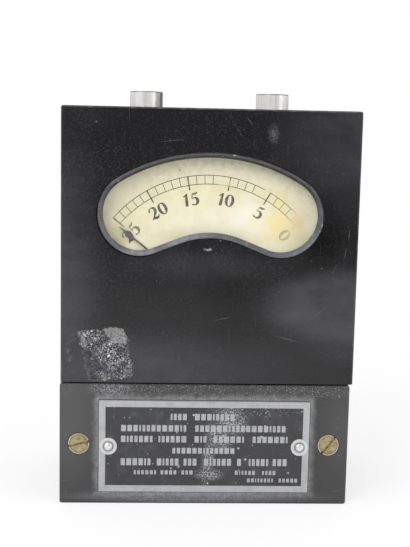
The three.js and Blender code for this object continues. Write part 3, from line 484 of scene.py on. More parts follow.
def case_phenolic(name="case_phenolic", film=False):
    """The case's black phenolic, with or without the residue of a label on it."""
    near_front = Y.span(FRONT + 1.2, FRONT + 0.3)
    cloud = noise(26, 4, warp=0.6)
    fine = noise(0.9, 5)
    smear = noise(9, 4, (1, 1, 2.2), (0, 25, 0), (7, 0, 3))
    # Partly real handling haze and partly a painted sheen: lighter cloudy patches that stand for the room's
    # soft reflection in the glossy front.
    handling_and_sheen = blobs(
        (0.9, 41, 61.5, 44, 22, 0.6), (0.3, 41, 51, 26, 12), (0.6, 43, 114, 36, 36, 1.7),
        (0.75, -46, 60, 20, 84, 1.7), (0.15, -43, 119, 24, 14, 1.6), (0.8, -34, 42, 84, 17, 1.7),
        (0.3, -3, 74, 34, 8, 1.5))
    haze_and_sheen = handling_and_sheen * cloud.span(0.25, 0.65, 0.6, 1) * smear.span(0.25, 0.6, 0.7, 1)
    polished = blobs((0.7, 7, 63, 15, 26, 1.6, -10), (0.7, 33, 86, 13, 22, 1.3))
    dust = noise(0.42, 6, shift=(3, 3, 3)).span(0.45, 0.75) * cloud.span(0.25, 0.65, 0.3, 1)
    specks = speckles((3.1, 0.26, 0.3), (1.3, 0.2, 0.3, (2, 5, 5)), (5.1, 0.28, 0.2, (4, 2, 2)))
    hairlines = scratches(
        (0.75, (3.2, 3.2, 0.1), 14, (0, 0, 0)), (0.755, (3.6, 3.6, 0.12), -33, (9, 0, 4)),
        (0.755, (0.14, 3.5, 3.5), 21, (40, 0, 9)))
    cuts = blobs(*((1, x, z, length, 0.16, 1, turn) for x, z, length, turn in SCRATCHES))
    faint = most(hairlines * 0.3, cuts * near_front * fine.span(0.3, 0.6, 0.2, 0.8))
    # A painted shadow: a thin near-black line on the front just outside the window's left lobe, showing at
    # its lower left, where the bezel meets the case.
    lobe = 2 * (LOBE_RADIUS + BEZEL_WIDTH) + 0.3
    gap_shadow = blob(-lobe_x - 0.25, lobe_z - 0.25, lobe, lobe, 0.02) * near_front
    edge = outside(case_low.x, case_high.x, case_low.z, case_high.z)
    worn_edge = edge.span(-0.75, -0.2) * near_front * noise(2.5, 5).span(0.45, 0.7)
    ripple = noise(0.35, 3, (0.5, 1, 1.6)).span(0.38, 0.6)
    chip = blob(-0.8, 79, 2.2, 0.8, 0.9) * ripple * near_front
    smudge = blobs(
        (0.2, 18, 113.5, 2.4, 4.2, 1.8), (0.14, -42.3, 47.8, 1.2, 1.6, 1.6),
        (0.12, -41.7, 45.2, 1.6, 1.8, 1.6))
    colour = layered(
        (0.0125, 0.0125, 0.0135),
        (polished * near_front, 0.004),
        (haze_and_sheen * 0.85, (0.07, 0.0695, 0.078)),
        (gap_shadow, 0.002),
        (dust * 0.035, (0.42, 0.42, 0.46)),
        (worn_edge * 0.25, (0.2, 0.2, 0.21)),
        (faint, 0.12),
        (smudge * noise(0.6, 3).span(0.35, 0.7) * near_front, 0.6),
        (specks * 0.45, (0.36, 0.36, 0.37)),
        (chip * 0.8, (0.45, 0.45, 0.46)),
        *(residue_layers() if film else ()))
    roughness = cloud * 0.2 + smear * 0.16 + most(specks, dust, haze_and_sheen) * 0.25
    height = noise(14, 2) - faint * 0.02 + fine * 0.01
    return material(name, 0.0, colour, roughness, height, 0.08, {"Specular IOR Level": 0.3})


def cover_phenolic():
    plate_low, plate_high = corners("nameplate")
    cloud = noise(18, 4, warp=0.5)
    grain = noise(0.45, 5)
    away = outside(plate_low.x, plate_high.x, plate_low.z, plate_high.z)
    halo = (away - noise(2.2, 5) * 2.4).span(1.4, -1.9) * grain.span(0.25, 0.6, 0.35, 1)
    upper = Z.span(plate_high.z + 0.5, plate_high.z + 2.5) * X.span(-36, -32, 0.25, 1)
    uneven = noise(11, 3).span(0.3, 0.5, 0.25, 1)
    dust = noise(0.42, 6, shift=(2, 2, 2)).span(0.52, 0.74) * uneven
    below = blob(-4, 2.2, 62, 3.4, 1.2) * grain.span(0.3, 0.7, 0.4, 1)
    patch = blob(-29.5, 36.4, 11, 5) * noise(0.5, 5, shift=(3, 1, 1), warp=1).span(0.48, 0.6)
    hairlines = scratches((0.745, (0.12, 3, 3), 17, (0, 0, 0)), (0.75, (3.4, 3, 0.14), -24, (5, 0, 2)))
    colour = layered(
        (0.034, 0.034, 0.035),
        (cloud * 0.6, (0.052, 0.052, 0.054)),
        (blobs((0.6, -42, 28, 14, 34, 1.6), (0.36, 42, 24, 10, 22, 1.5)), (0.085, 0.085, 0.087)),
        (halo * 0.6, (0.42, 0.42, 0.43)),
        # A painted shadow: a dark line just outside the nameplate's edge.
        (away.span(0.3, 0.12) * 0.7, 0.01),
        (upper * dust * 0.6, 0.5),
        (below * 0.32, (0.42, 0.43, 0.5)),
        (patch * 0.32, (0.5, 0.49, 0.54)),
        (hairlines * 0.25, 0.3),
        (speckles((2.6, 0.26, 0.26, (1, 2, 3)), (1.2, 0.16, 0.2, (8, 2, 3))) * 0.7, 0.4))
    return material("cover_phenolic", 0.0, colour, cloud * 0.25 + 0.38, grain, 0.02)


def bezel_grey():
    patches = noise(2.4, 5)
    grain = noise(0.5, 4)
    chips = blobs(
        (1, 33.4, 86.6, 0.6, 1.5, 0.4), (1, 32.9, 84.9, 0.5, 0.6, 0.4), (1, 6.6, 107.1, 0.9, 0.4, 0.4))
    nicks = specks(2.3, 0.7, 0.25, (4, 1, 6)) * grain.span(0.4, 0.6)
    scuffs = noise(0.8, 5, shift=(2, 4, 0), warp=1).span(0.56, 0.68) * Z.span(100, 82, 0.25, 1)
    # Partly real wear and partly a painted highlight: paler places at the lower left, where the ring's slope
    # faces up to the light.
    rubbed = blobs((1, -21, 77.6, 12, 3.4), (1, -8, 82, 16, 5)) * patches.span(0.35, 0.6, 0.3, 1)
    # Partly tarnish and partly painted shade: brown-black on the inner slope at the ring's top, where the
    # slope faces down.
    tarnish_and_shade = Y.span(FRONT + 0.2, FRONT + 0.7) * Z.span(90, 98) * patches.span(0.2, 0.6, 0.6, 1)
    colour = layered(
        (0.1, 0.1, 0.105),
        (patches.span(0.35, 0.7), (0.14, 0.14, 0.15)),
        (grain.span(0.6, 0.4) * 0.5, (0.055, 0.055, 0.06)),
        # Painted light: the ring is paler towards its bottom, where its slope faces up to the lamps.
        (Z.span(92, 80) * 0.4, (0.17, 0.17, 0.183)),
        (rubbed * 0.4, (0.36, 0.36, 0.385)),
        (tarnish_and_shade * 0.75, (0.03, 0.025, 0.019)),
        (scuffs * 0.3, (0.42, 0.42, 0.43)),
        (most(specks(1.1, 0.3, 0.3), nicks, chips) * 0.8, 0.6))
    return material("bezel_grey", 0.5, colour, patches.span(0.3, 0.7, 0.34, 0.52), grain, 0.02)


def dial_cream():
    mottle = noise(4.5, 5)
    fine = noise(0.5, 4)
    uneven = mottle.span(0.2, 0.6, 0.7, 1)
    # Painted light: the dial is paler along the arch, the bottom and the sides, to lift the shade that the
    # bezel and the recess cast there.
    under_arch = blob(0, arch_z, 2 * ARCH_RADIUS - 10, 2 * ARCH_RADIUS - 10, 0.17)
    rim = most(1 - under_arch, Z.span(83, 77), X.span(-24, -33), X.span(27, 33, 0, 0.8))
    # Painted light: a whitish glare reflected by the glass right of the middle, and a paler lower middle
    # where the light falls most.
    bright = blobs((0.7, 11.5, 87.5, 12, 10, 1.6), (0.35, 2, 87, 30, 10, 1.6))
    olive = blob(-27.6, 82, 6, 7, 1.3) * mottle.span(0.3, 0.6, 0.5, 1)
    rosy = blob(29.5, 92, 9, 18, 1.2, 20) * fine.span(0.3, 0.6)
    stain = blobs((0.75, 21, 86, 15, 13, 1.6, -35), (0.75, 20.7, 93, 9, 6, 1.6))
    amber = blob(26.6, 87, 4.2, 3, 1.2, -45)
    # Greyer, darker mottle near the top of the dial.
    darker_near_top = Z.span(97, 104) * noise(1.6, 5, shift=(2, 8, 2)).span(0.45, 0.62)
    spotted = noise(2.6, 5, shift=(1, 3, 9)).span(0.5, 0.68) * Z.span(84, 96, 0.3, 1)
    colour = layered(
        (0.67, 0.62, 0.4),
        (rim * uneven, (0.93, 0.89, 0.66)),
        (mottle.span(0.35, 0.65) * 0.45, (0.74, 0.71, 0.55)),
        (bright * uneven, (0.77, 0.76, 0.7)),
        (olive * 0.5, (0.55, 0.5, 0.24)),
        (rosy * 0.5, (0.74, 0.64, 0.56)),
        (stain * noise(3.2, 5, shift=(4, 0, 2)).span(0.3, 0.66), (0.77, 0.65, 0.27)),
        (amber * 0.5, (0.75, 0.52, 0.16)),
        (darker_near_top * 0.26, (0.5, 0.46, 0.36)),
        (spotted * 0.22, (0.62, 0.53, 0.38)),
        (fine.span(0.5, 0.8) * 0.2, (0.5, 0.44, 0.28)),
        (specks(2.2, 0.28, 0.18) * 0.35, (0.3, 0.27, 0.18)),
        (specks(1.6, 0.24, 0.16, (6, 1, 2)) * 0.6, (0.86, 0.85, 0.8)),
        (blob(-9.4, 102.2, 0.45, 0.45, 0.6), (0.15, 0.15, 0.1)))
    return material("dial_cream", 0.0, colour, 0.7, fine, 0.01)


def dial_ink():
    rubbed = blobs(
        (0.6, 4.5, 98.6, 5, 2.4), (0.75, 13.5, 91.5, 3, 2.4, 1.2), (0.55, 23.8, 82, 6, 6),
        (0.85, 27.5, 87.5, 6, 7, 0.8), (0.85, 25.4, 84.6, 3, 2.6, 0.8))
    colour = layered(
        (0.045, 0.04, 0.03),
        (noise(0.8, 4).span(0.42, 0.72, 0, 0.5), (0.28, 0.24, 0.16)),
        (most(X.span(12, 26), blob(-25, 84, 9, 7)) * 0.4, (0.42, 0.36, 0.24)),
        (rubbed, (0.72, 0.64, 0.42)))
    return material("dial_ink", 0.0, colour, 0.6)


def aluminium(name="aluminium", shade=0.5, tabs=()):
    """Worn aluminium. A tab is the middle of a disc that is brighter and has a dark ring in it, partly dirt
    and partly a painted shadow round a rivet's head.
    """
    patches = noise(3.2, 5)
    discs = []
    for x, z in tabs:
        discs.append((blob(x, z, 5.2, 5.2, 0.1) * 0.6, (0.78, 0.78, 0.79)))
        # Partly dirt and partly a painted shadow: the dark ring round the rivet's head.
        discs.append((blob(x, z, 3.3, 3.3, 0.35) * 0.75, (0.09, 0.09, 0.095)))
    colour = layered(
        (shade, shade * 1.01, shade * 1.025),
        (patches.span(0.45, 0.75) * 0.8, shade * 0.82),
        (noise(0.4, 4).span(0.5, 0.75) * 0.15, (0.9, 0.9, 0.92)),
        *discs,
        (specks(1.1, 0.22, 0.25) * 0.45, 0.1))
    height = noise(1, 3, (0.3, 3, 3)) + patches * 0.6
    return material(name, 0.7, colour, patches.span(0.3, 0.7, 0.42, 0.56), height, 0.012)


def plate_field():
    """The plate's dark etched field, worn through to the metal in places."""
    fine = noise(0.4, 5, warp=0.5)
    wide = noise(3.4, 4, shift=(2, 0, 5))
    scuff = blobs(
        (1, 7.5, 26.5, 7, 8, 1.4, 60), (1, 3.8, 21.5, 5.5, 8, 1.4, 30), (0.8, 0.6, 14, 3, 12, 1.3, -8),
        (0.85, 1, 9.6, 7, 3, 1.3))
    corner = blob(14, 29.2, 20, 3, 1.4) * noise(0.5, 5, shift=(9, 0, 1)).span(0.6, 0.68)
    upper = specks(2.3, 0.55, 0.45, (6, 0, 2)) * Z.span(14, 22, 0.5, 1)
    dots = speckles((3.4, 0.6, 0.4), (1.9, 0.38, 0.35, (3, 3, 8)), (0.8, 0.2, 0.25, (1, 3, 2)))
    bare = most(scuff * fine.span(0.46, 0.6), corner, upper, dots)
    colour = layered(
        (0.033, 0.033, 0.036), (wide.span(0.45, 0.8) * 0.07, 0.5), (bare * 0.85, (0.52, 0.52, 0.53)))
    return material("plate_field", 0.0, colour, wide.span(0.3, 0.7, 0.38, 0.55), fine * 0.3 - bare, 0.02)


def brass(name="brass", grime=0.5, roughness=0.42, head=None):
    """Aged brass. A head is the x, z and radius of a screw's head whose rim is worn bright."""
    patches = noise(1.8, 5, shift=(3, 1, 4))
    where = noise(5, 4, shift=(6, 2, 1)).span(0.35, 0.65, 0.15, 1)
    dirt = noise(0.9, 5).span(0.48, 0.74) * where * grime
    layers = [(patches.span(0.4, 0.75), (0.38, 0.31, 0.19)), (dirt, (0.08, 0.065, 0.045))]
    if head:
        x, z, radius = head
        inside = blob(x, z, 2 * radius - 0.75, 2 * radius - 0.75, 0.08)
        groove = inside * (1 - blob(x, z, 2 * radius - 1.5, 2 * radius - 1.5, 0.15))
        worn = (1 - inside) * patches.span(0.3, 0.6, 0.35, 1)
        layers.extend([(groove * 0.45, (0.14, 0.11, 0.07)), (worn * 0.75, (0.72, 0.68, 0.56))])
    colour = layered((0.5, 0.42, 0.25), *layers)
    uneven = patches.span(0.3, 0.7, roughness - 0.08, roughness + 0.14)
    return material(name, 1.0, colour, uneven, noise(1, 3, (0.35, 3, 3), (0, 14, 0)), 0.012)


def nickel(name="nickel", shade=0.94, metallic=0.25, stain=None):
    """Dull nickel. A stain is the x where a dark streak on the front of a stud starts."""
    patches = noise(2.2, 5)
    # Vertical bands of darker tone: a painted reflection of the room, on every part of this nickel.
    reflection_bands = noise(1, 3, (0.75, 0.75, 0.04), shift=(3, 2, 0))
    tone = most(reflection_bands.span(0.4, 0.7) * 0.5, patches.span(0.5, 0.78) * 0.4)
    dull = shade * 0.62
    layers = [
        (tone, (dull, dull * 0.98, dull * 0.93)), (specks(0.9, 0.16, 0.2) * 0.5, (0.15, 0.14, 0.12))]
    if stain:
        front = Y.span(2.5, 0.5)
        wavy = X + patches.span(0.3, 0.7) * 0.5
        layers.append((wavy.span(stain, stain + 0.8) * front * 0.7, (0.36, 0.35, 0.25)))
        layers.append((wavy.span(stain + 1.6, stain + 2.1) * front * 0.8, (0.1, 0.1, 0.11)))
    colour = layered((shade, shade * 0.99, shade * 0.965), *layers)
    return material(name, metallic, colour, patches.span(0.3, 0.75, 0.34, 0.5), reflection_bands + patches * 0.3, 0.012)


def iron():
    patches = noise(4, 5)
    rust = noise(2.2, 5, shift=(7, 7, 2)).span(0.58, 0.75) * 0.6
    colour = layered((0.17, 0.17, 0.18), (patches, (0.26, 0.26, 0.27)), (rust, (0.16, 0.07, 0.03)))
    return material("iron", 1.0, colour, patches.span(0.3, 0.7, 0.35, 0.6), noise(0.7, 5), 0.02)


def dark_metal(name="dark_metal", dark=(0.03, 0.027, 0.024), light=(0.07, 0.06, 0.048)):
    patches = noise(1.2, 4)
    colour = layered(dark, (patches, light))
    return material(name, 0.6, colour, patches.span(0.3, 0.7, 0.35, 0.6))


def copper():
    wire = noise(1, 2, (0.1, 0.1, 6))
    colour = layered((0.34, 0.12, 0.05), (wire.span(0.3, 0.7), (0.55, 0.24, 0.11)))
    return material("copper", 0.9, colour, 0.35, wire, 0.05)


def cell_paper():
    fibre = noise(1, 4, (0.5, 2.5, 2.5))
    damp = noise(7, 5, shift=(3, 2, 1)).span(0.5, 0.7) * 0.5
    colour = layered((0.33, 0.23, 0.14), (fibre, (0.24, 0.16, 0.095)), (damp, (0.12, 0.08, 0.05)))
    return material("cell_paper", 0.0, colour, 0.8, fibre, 0.03)


def insulation():
    braid = specks(0.5, 0.4, 0.9)
    colour = layered((0.12, 0.022, 0.016), (braid * 0.5, (0.2, 0.05, 0.035)))
    return material("insulation", 0.0, colour, 0.8, braid, 0.06)


def wire_cover():
    """Fine wire in green silk, wound in even turns."""
    fade = noise(1.6, 4, shift=(1, 5, 2)).span(0.35, 0.7)
    colour = layered((0.045, 0.085, 0.05), (fade, (0.09, 0.12, 0.06)))
    return material("wire_cover", 0.0, colour, 0.7, reckon("SINE", Z * (TURN / WIRE_PITCH)), 0.06)


def glass():
    roughness = noise(7, 5, warp=1).span(0.5, 0.8, 0, 0.05)
    return material("window_glass", 0.0, 1.0, roughness, more={"Transmission Weight": 1.0, "IOR": 1.45})


def residue_layers():
    """What a torn-off label has left: a dark film full of bright wrinkles, fading at its edges."""
    rise, lean = X - RESIDUE_MIDDLE[0], Z - RESIDUE_MIDDLE[1]
    across, up = rise + lean * RESIDUE_LEAN, lean - rise * RESIDUE_RISE
    beside = reckon("ABSOLUTE", across) - RESIDUE_WIDTH / 2
    beyond = reckon("ABSOLUTE", up) - RESIDUE_HEIGHT / 2
    rounded = (across + up).span(RESIDUE_WIDTH * 0.86, RESIDUE_WIDTH * 1.15, 0, 3.6)
    ragged = most(beside, beyond) + rounded + noise(1.5, 5, shift=(1, 0, 1)) * 3
    film = ragged.span(1.9, 1.2)
    flakes = noise(0.7, 5, warp=1.2)
    wrinkle = reckon("ABSOLUTE", noise(1.1, 4, shift=(4, 0, 8), warp=1.5) - 0.5)
    middle = blobs(
        (1, -27, 46.5, 12, 12, 1.2, 20), (0.9, -36, 51.5, 10, 6, 1.2), (0.75, -28, 40.8, 12, 4, 1.2))
    where = middle.span(0, 1, 0.2, 1) * noise(2.6, 3, shift=(1, 0, 6)).span(0.36, 0.56, 0.35, 1)
    bright = most(
        wrinkle.span(0.03, 0.012) * 0.6, flakes.span(0.58, 0.68) * 0.7,
        specks(0.62, 0.36, 0.45) * 0.75,
        speckles((1.3, 0.6, 0.3, (5, 0, 3)), (3.1, 0.95, 0.3, (2, 0, 7))))
    torn = noise(0.36, 4, warp=0.8).span(0.4, 0.58, 0.25, 1)
    corner = blob(-27.3, 53.1, 9, 5, 0.3, -27) * torn
    rim = ragged.span(0.2, 1.1) * flakes.span(0.35, 0.6)
    bubble = blob(-23.9, 42.3, 2.1, 2.4, 0.3) * (1 - blob(-23.9, 42.3, 1.5, 1.8, 0.3))
    return [
        (film * 0.75, (0.013, 0.012, 0.0155)),
        (flakes.span(0.45, 0.65) * film * 0.1, (0.3, 0.28, 0.36)),
        (rim * film * 0.08, 0.5),
        (bright * where * film * 0.9, (0.75, 0.75, 0.8)),
        (corner * film * 0.9, (0.27, 0.266, 0.25)),
        (bubble * film * 0.3, 0.4),
    ]


look = {
    "phenolic": case_phenolic(),
    "cover_phenolic": cover_phenolic(),
    "bezel": bezel_grey(),
    "glass": glass(),
    "dark_metal": dark_metal(),
    "pointer_metal": dark_metal("pointer_metal", (0.035, 0.035, 0.04), (0.15, 0.15, 0.17)),
    "cream_paint": dial_cream(),
    "brass": brass(),
    "nickel": nickel(shade=0.68, metallic=0.9),
    "aluminium": aluminium(),
    "iron": iron(),
    "copper": copper(),
    "cell_jacket": cell_paper(),
    "insulation": insulation(),
}


# The CAD nodes that stay


def smooth_by_angle(limit):
    """A node group that welds a faceted mesh and shades it smooth but for its sharp edges."""
    group = bpy.data.node_groups.new(f"smooth_{limit}", "GeometryNodeTree")
    for way in ("INPUT", "OUTPUT"):
        group.interface.new_socket("Geometry", in_out=way, socket_type="NodeSocketGeometry")
    shape = Node("NodeGroupInput")[0]
    shape = Node("GeometryNodeRemoveAttribute", {0: shape, "Name": "custom_normal"})[0]
    shape = Node("GeometryNodeMergeByDistance", {0: shape, "Distance": MM / 1000})[0]
    shape = Node("GeometryNodeSetShadeSmooth", {0: shape}, domain="FACE")[0]
    turns = {"A": Node("GeometryNodeInputMeshEdgeAngle")[0], "B": math.radians(limit)}
    sharp = Node("FunctionNodeCompare", turns, data_type="FLOAT", operation="GREATER_THAN")[0]
    sharp_edges = {0: shape, "Selection": sharp, "Shade Smooth": False}
    shape = Node("GeometryNodeSetShadeSmooth", sharp_edges, domain="EDGE")[0]
    Tree(group).build(Node("NodeGroupOutput", {0: shape}))
    return group


SMOOTH = smooth_by_angle(32)
ROUND_NODES = ("lead_stud_to_battery", "lead_spool_to_bridge", "lead_bridge_to_stud")


def dress_nodes():
    for name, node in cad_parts.items():
        slot = node.material_slots[0]
        slot.material = look[slot.material.name.split(".")[0]]
        node.modifiers.new("smooth", "NODES").node_group = SMOOTH
        if name in ROUND_NODES:
            node.modifiers.new("round", "SUBSURF").render_levels = 2


# Pieces that stand for CAD nodes, finer


def window_bezel():
    lip, land, slope, thick, edge = BEZEL_WIDTH, 0.45, 1.3, 2.2, 0.2
    section = [
        (lip, edge), (lip - 0.06, 0.06), (lip - edge, 0), (lip - land, 0), (lip - land - 0.06, 0.03),
        (0.08, slope - 0.12), (0.02, slope - 0.03), (0, slope + 0.08), (0, thick), (lip, thick)]
    shell = Shell()
    rings = [shell.flat(window_outline(offset), FRONT + depth) for offset, depth in section]
    shell.walls([*rings, rings[0]])
    piece = shell.piece("window_bezel_ring", [look["bezel"]], "case", "bezel")
    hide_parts("window_bezel")


def window_glass():
    low, high = corners("window_glass")
    reach = high.x - lobe_x - LOBE_RADIUS
    edge = 0.15
    section = [(reach - edge, low.y), (reach, low.y + edge), (reach, high.y - edge), (reach - edge, high.y)]
    shell = Shell()
    rings = [shell.flat(window_outline(offset), depth) for offset, depth in section]
    shell.walls(rings)
    shell.cap(rings[0])
    shell.cap(rings[-1])
    piece = shell.piece("window_glass_pane", [look["glass"]], "case", "glass", 20)
    piece.visible_shadow = False
    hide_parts("window_glass")


pivot_z = middle("jewel_screw_front").z
DIAL_FACE = corners("dial_screw_left")[0].y + DIAL_SINK


def polar(radius, degrees, aside=0.0):
    """A place on the dial's face, some way out from the pivot and to the right of that line."""
    sin, cos = math.sin(math.radians(degrees)), math.cos(math.radians(degrees))
    return SCALE_SHIFT + radius * sin + aside * cos, pivot_z + radius * cos - aside * sin


# Numerals as brush strokes of (x, z, half the width), on a height of 1
DIGITS = {
    "1": [
        [(0.06, 1, 0.07), (0.02, 0.5, 0.105), (-0.01, 0.0, 0.12)],
        [(0.07, 0.98, 0.03), (-0.19, 0.76, 0.055)],
    ],
    "2": [
        [(-0.27, 0.68, 0.07), (-0.22, 0.86, 0.06), (-0.02, 0.96, 0.04), (0.17, 0.87, 0.1),
         (0.22, 0.69, 0.12), (0.13, 0.47, 0.1), (-0.06, 0.25, 0.06), (-0.31, 0.03, 0.035)],
        [(-0.31, 0.05, 0.035), (-0.12, 0.12, 0.075), (0.08, 0.06, 0.1), (0.25, 0.1, 0.07),
         (0.34, 0.28, 0.03)],
    ],
    "5": [
        [(-0.15, 0.92, 0.05), (0.04, 0.91, 0.085), (0.29, 1.0, 0.035)],
        [(-0.14, 0.92, 0.04), (-0.21, 0.54, 0.032)],
        [(-0.21, 0.54, 0.035), (-0.02, 0.62, 0.045), (0.16, 0.54, 0.095), (0.23, 0.32, 0.125),
         (0.13, 0.11, 0.085), (-0.04, 0.04, 0.045), (-0.25, 0.11, 0.075)],
    ],
}
DIGIT_WIDTH = {"0": 0.8, "1": 0.54, "2": 0.82, "5": 0.78}
# Half the width and half the height of a nought's outer and inner rim
ZERO_RIMS = ((0.375, 0.5), (0.135, 0.42))


def digit_outlines(digit):
    if digit != "0":
        return [[stroke(points)] for points in DIGITS[digit]]
    around = [i * TURN / 40 for i in range(40)]
    return [[
        [(wide * math.cos(turn), 0.5 + tall * math.sin(turn)) for turn in around]
        for wide, tall in ZERO_RIMS]]


def number_print(shell, text, angle, near, far):
    along = -sum(DIGIT_WIDTH[digit] for digit in text) / 2
    for digit in text:
        centre = along + DIGIT_WIDTH[digit] / 2
        along += DIGIT_WIDTH[digit]
        for outlines in digit_outlines(digit):
            placed = [[
                polar(NUMBER_RADIUS + (z - 0.5) * NUMBER_HEIGHT, angle, (x + centre) * NUMBER_HEIGHT)
                for x, z in outline] for outline in outlines]
            shell.prism(placed, near, far)


def dial_print():
    shell = Shell()
    near, far = DIAL_FACE - PRINT_THICK, DIAL_FACE + PRINT_THICK
    half_sweep = SCALE_DIVISIONS * SCALE_STEP / 2
    for radius, start, end in (
            (SCALE_OUTER, -half_sweep, SCALE_BREAK[0]),
            (SCALE_OUTER, SCALE_BREAK[1], half_sweep),
            (SCALE_INNER, -half_sweep, half_sweep)):
        steps = round(end - start)
        angles = [start + (end - start) * i / steps for i in range(steps + 1)]
        outer = [polar(radius + ARC_HALF, angle) for angle in angles]
        inner = [polar(radius - ARC_HALF, angle) for angle in angles]
        shell.prism([outer + inner[::-1]], near, far)
    for number in range(SCALE_DIVISIONS + 1):
        if number in SCALE_LOST:
            continue
        angle = half_sweep - SCALE_STEP * number
        major = number % 5 == 0
        foot, half = (SCALE_MAJOR, LONG_HALF) if major else (SCALE_INNER, SHORT_HALF)
        sides = ((foot, -half), (foot, half), (SCALE_OUTER, half), (SCALE_OUTER, -half))
        shell.prism([[polar(radius, angle, aside) for radius, aside in sides]], near - 0.004, far)
        if major:
            number_print(shell, str(number), angle, near - 0.002, far)
    shell.piece("dial_print", [dial_ink()], "case", "cream_paint")


def pointer():
    """The hand as its CAD solid has it, with a curved spade and a cranked root."""
    low, high = corners("pointer")
    face, thick, half = low.y, 0.3, 0.25
    root, crank, root_end = 6.3, 11.2, 11.5
    side = eased([
        (half, crank), (half, 24), (half, 29.5), (0.42, 29.8), (0.85, 30.5), (0.98, 31.2), (0.85, 31.9),
        (0.5, 32.4), (half, 33), (0.17, 33.8), (0.09, 34.75)], 6)
    shell = Shell()
    shell.prism([side + [(-x, z) for x, z in reversed(side)]], face, face + thick)
    for foot, near, far in ((root, high.y - thick, high.y), (crank, face + thick / 2, high.y - thick / 2)):
        shell.prism([[(-half, foot), (half, foot), (half, root_end), (-half, root_end)]], near, far)
    tilt = Matrix.Rotation(math.radians(REST_TILT), 4, "Y")
    shell.points = [tilt @ point + Vector((0, 0, pivot_z)) for point in shell.points]
    piece = shell.piece("pointer_hand", [look["pointer_metal"]], "moving_system", "pointer_metal")
    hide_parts("pointer")


def block_places(start, end, height):
    """Where the plain blocks of one run start and end."""
    places, x, number = [], start, round(end)
    while True:
        width = BLOCK_WIDTHS[number % len(BLOCK_WIDTHS)] * min(height / 2, 1)
        if x + width / 2 > end:
            return places
        places.append((x, min(x + width, end)))
        x += width + BLOCK_GAP
        number += 3


def nameplate():
    low, high = corners("nameplate")
    (left, _, tab_z), (right, _, _) = (middle(f"nameplate_rivet_{side}") for side in ("left", "right"))
    x0, x1 = low.x + PLATE_BORDER, high.x - PLATE_BORDER
    z0, z1 = low.z + PLATE_BORDER, high.z - PLATE_BORDER
    bite = math.acos((x0 - left) / TAB_RADIUS)
    field = [
        (x0, z1), (x1, z1), *arc(right, tab_z, TAB_RADIUS, math.pi - bite, math.pi + bite, 20),
        (x1, z0), (x0, z0), *arc(left, tab_z, TAB_RADIUS, -bite, bite, 20)]
    shell = Shell()
    outer, third = [], PLATE_EDGE / 3
    for inset, depth in ((PLATE_EDGE, 0), (third, third), (0, PLATE_EDGE), (0, high.y - low.y)):
        box = rounded_box(low.x + inset, high.x - inset, low.z + inset, high.z - inset, PLATE_CORNER - inset)
        outer.append(shell.flat(box, low.y + depth))
    shell.walls(outer)
    rim, floor = (shell.flat(field, depth) for depth in (low.y, low.y + PLATE_ETCH))
    bores = []
    for x in (left, right):
        hole = arc(x, tab_z, PLATE_HOLE, 0, TURN, 24, False)
        bores.append([shell.flat(hole, depth) for depth in (low.y, high.y)])
        shell.wall(*bores[-1])
    shell.cap(outer[0], rim, *(bore[0] for bore in bores))
    shell.cap(outer[-1], *(bore[1] for bore in bores))
    shell.wall(rim, floor)
    shell.cap(floor, paint=1)
    for z, height, runs in PLATE_ROWS:
        for start, end in runs:
            for x0, x1 in block_places(start, end, height):
                block = rounded_box(x0, x1, z - height / 2, z + height / 2, 0.12, 2)
                shell.prism([block], low.y + 0.04, low.y + PLATE_ETCH + 0.02, 2)
    border = aluminium("plate_border", 0.48, [(left, tab_z), (right, tab_z)])
    materials = [border, plate_field(), aluminium("plate_blocks", 0.46)]
    piece = shell.piece("nameplate_plate", materials, "cover", "aluminium")
    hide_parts("nameplate")


def nameplate_rivets():
    bright = nickel("rivet_aluminium", 0.8, 0.85)
    dome, head, shank = 0.65, 1.3, 0.75
    section = [
        (0, 0.22), (0.25, 0.2), (0.42, 0.06), (0.55, 0), (0.8, 0.07), (1.05, 0.22), (1.22, 0.42),
        (head, dome), (shank, dome)]
    for side in ("left", "right"):
        name = f"nameplate_rivet_{side}"
        low, high = corners(name)
        x, _, z = middle(name)
        profile = [*((radius, low.y + depth) for radius, depth in section), (shank, high.y), (0, high.y)]
        shell = Shell()
        shell.turned(profile, (x, 0, z), "Y", 40)
        piece = shell.piece(f"rivet_{side}", [bright], "cover", "aluminium", 50)
        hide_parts(name)


def carve(thing, cutter):
    """Cuts a hidden solid out of a piece and keeps the result as its mesh."""
    modifier = thing.modifiers.new("cut", "BOOLEAN")
    modifier.object = cutter
    modifier.solver = "EXACT"
    bpy.context.view_layer.update()
    shape = thing.evaluated_get(bpy.context.evaluated_depsgraph_get())
    mesh = bpy.data.meshes.new_from_object(shape)
    thing.modifiers.clear()
    thing.data = mesh
    shade(mesh)
    bpy.data.objects.remove(cutter)


def slot_cutter(x, z, face, depth, width, length, degrees, burr):
    """A bar that cuts a screw's slot, bent at its ends where the slot is torn."""
    half = width / 2
    line = [
        (-length, -burr, half + burr / 3), (-length / 3, -burr / 2, half), (0, 0, half),
        (length / 3, burr / 2, half + burr / 4), (length, burr, half + burr / 2)]
    cos, sin = math.cos(math.radians(degrees)), math.sin(math.radians(degrees))
    outline = [(x + a * cos - b * sin, z + a * sin + b * cos) for a, b in stroke(line, 6)]
    shell = Shell()
    shell.prism([outline], face - 1, face + depth)
    return link("slot", shell.mesh("slot"))


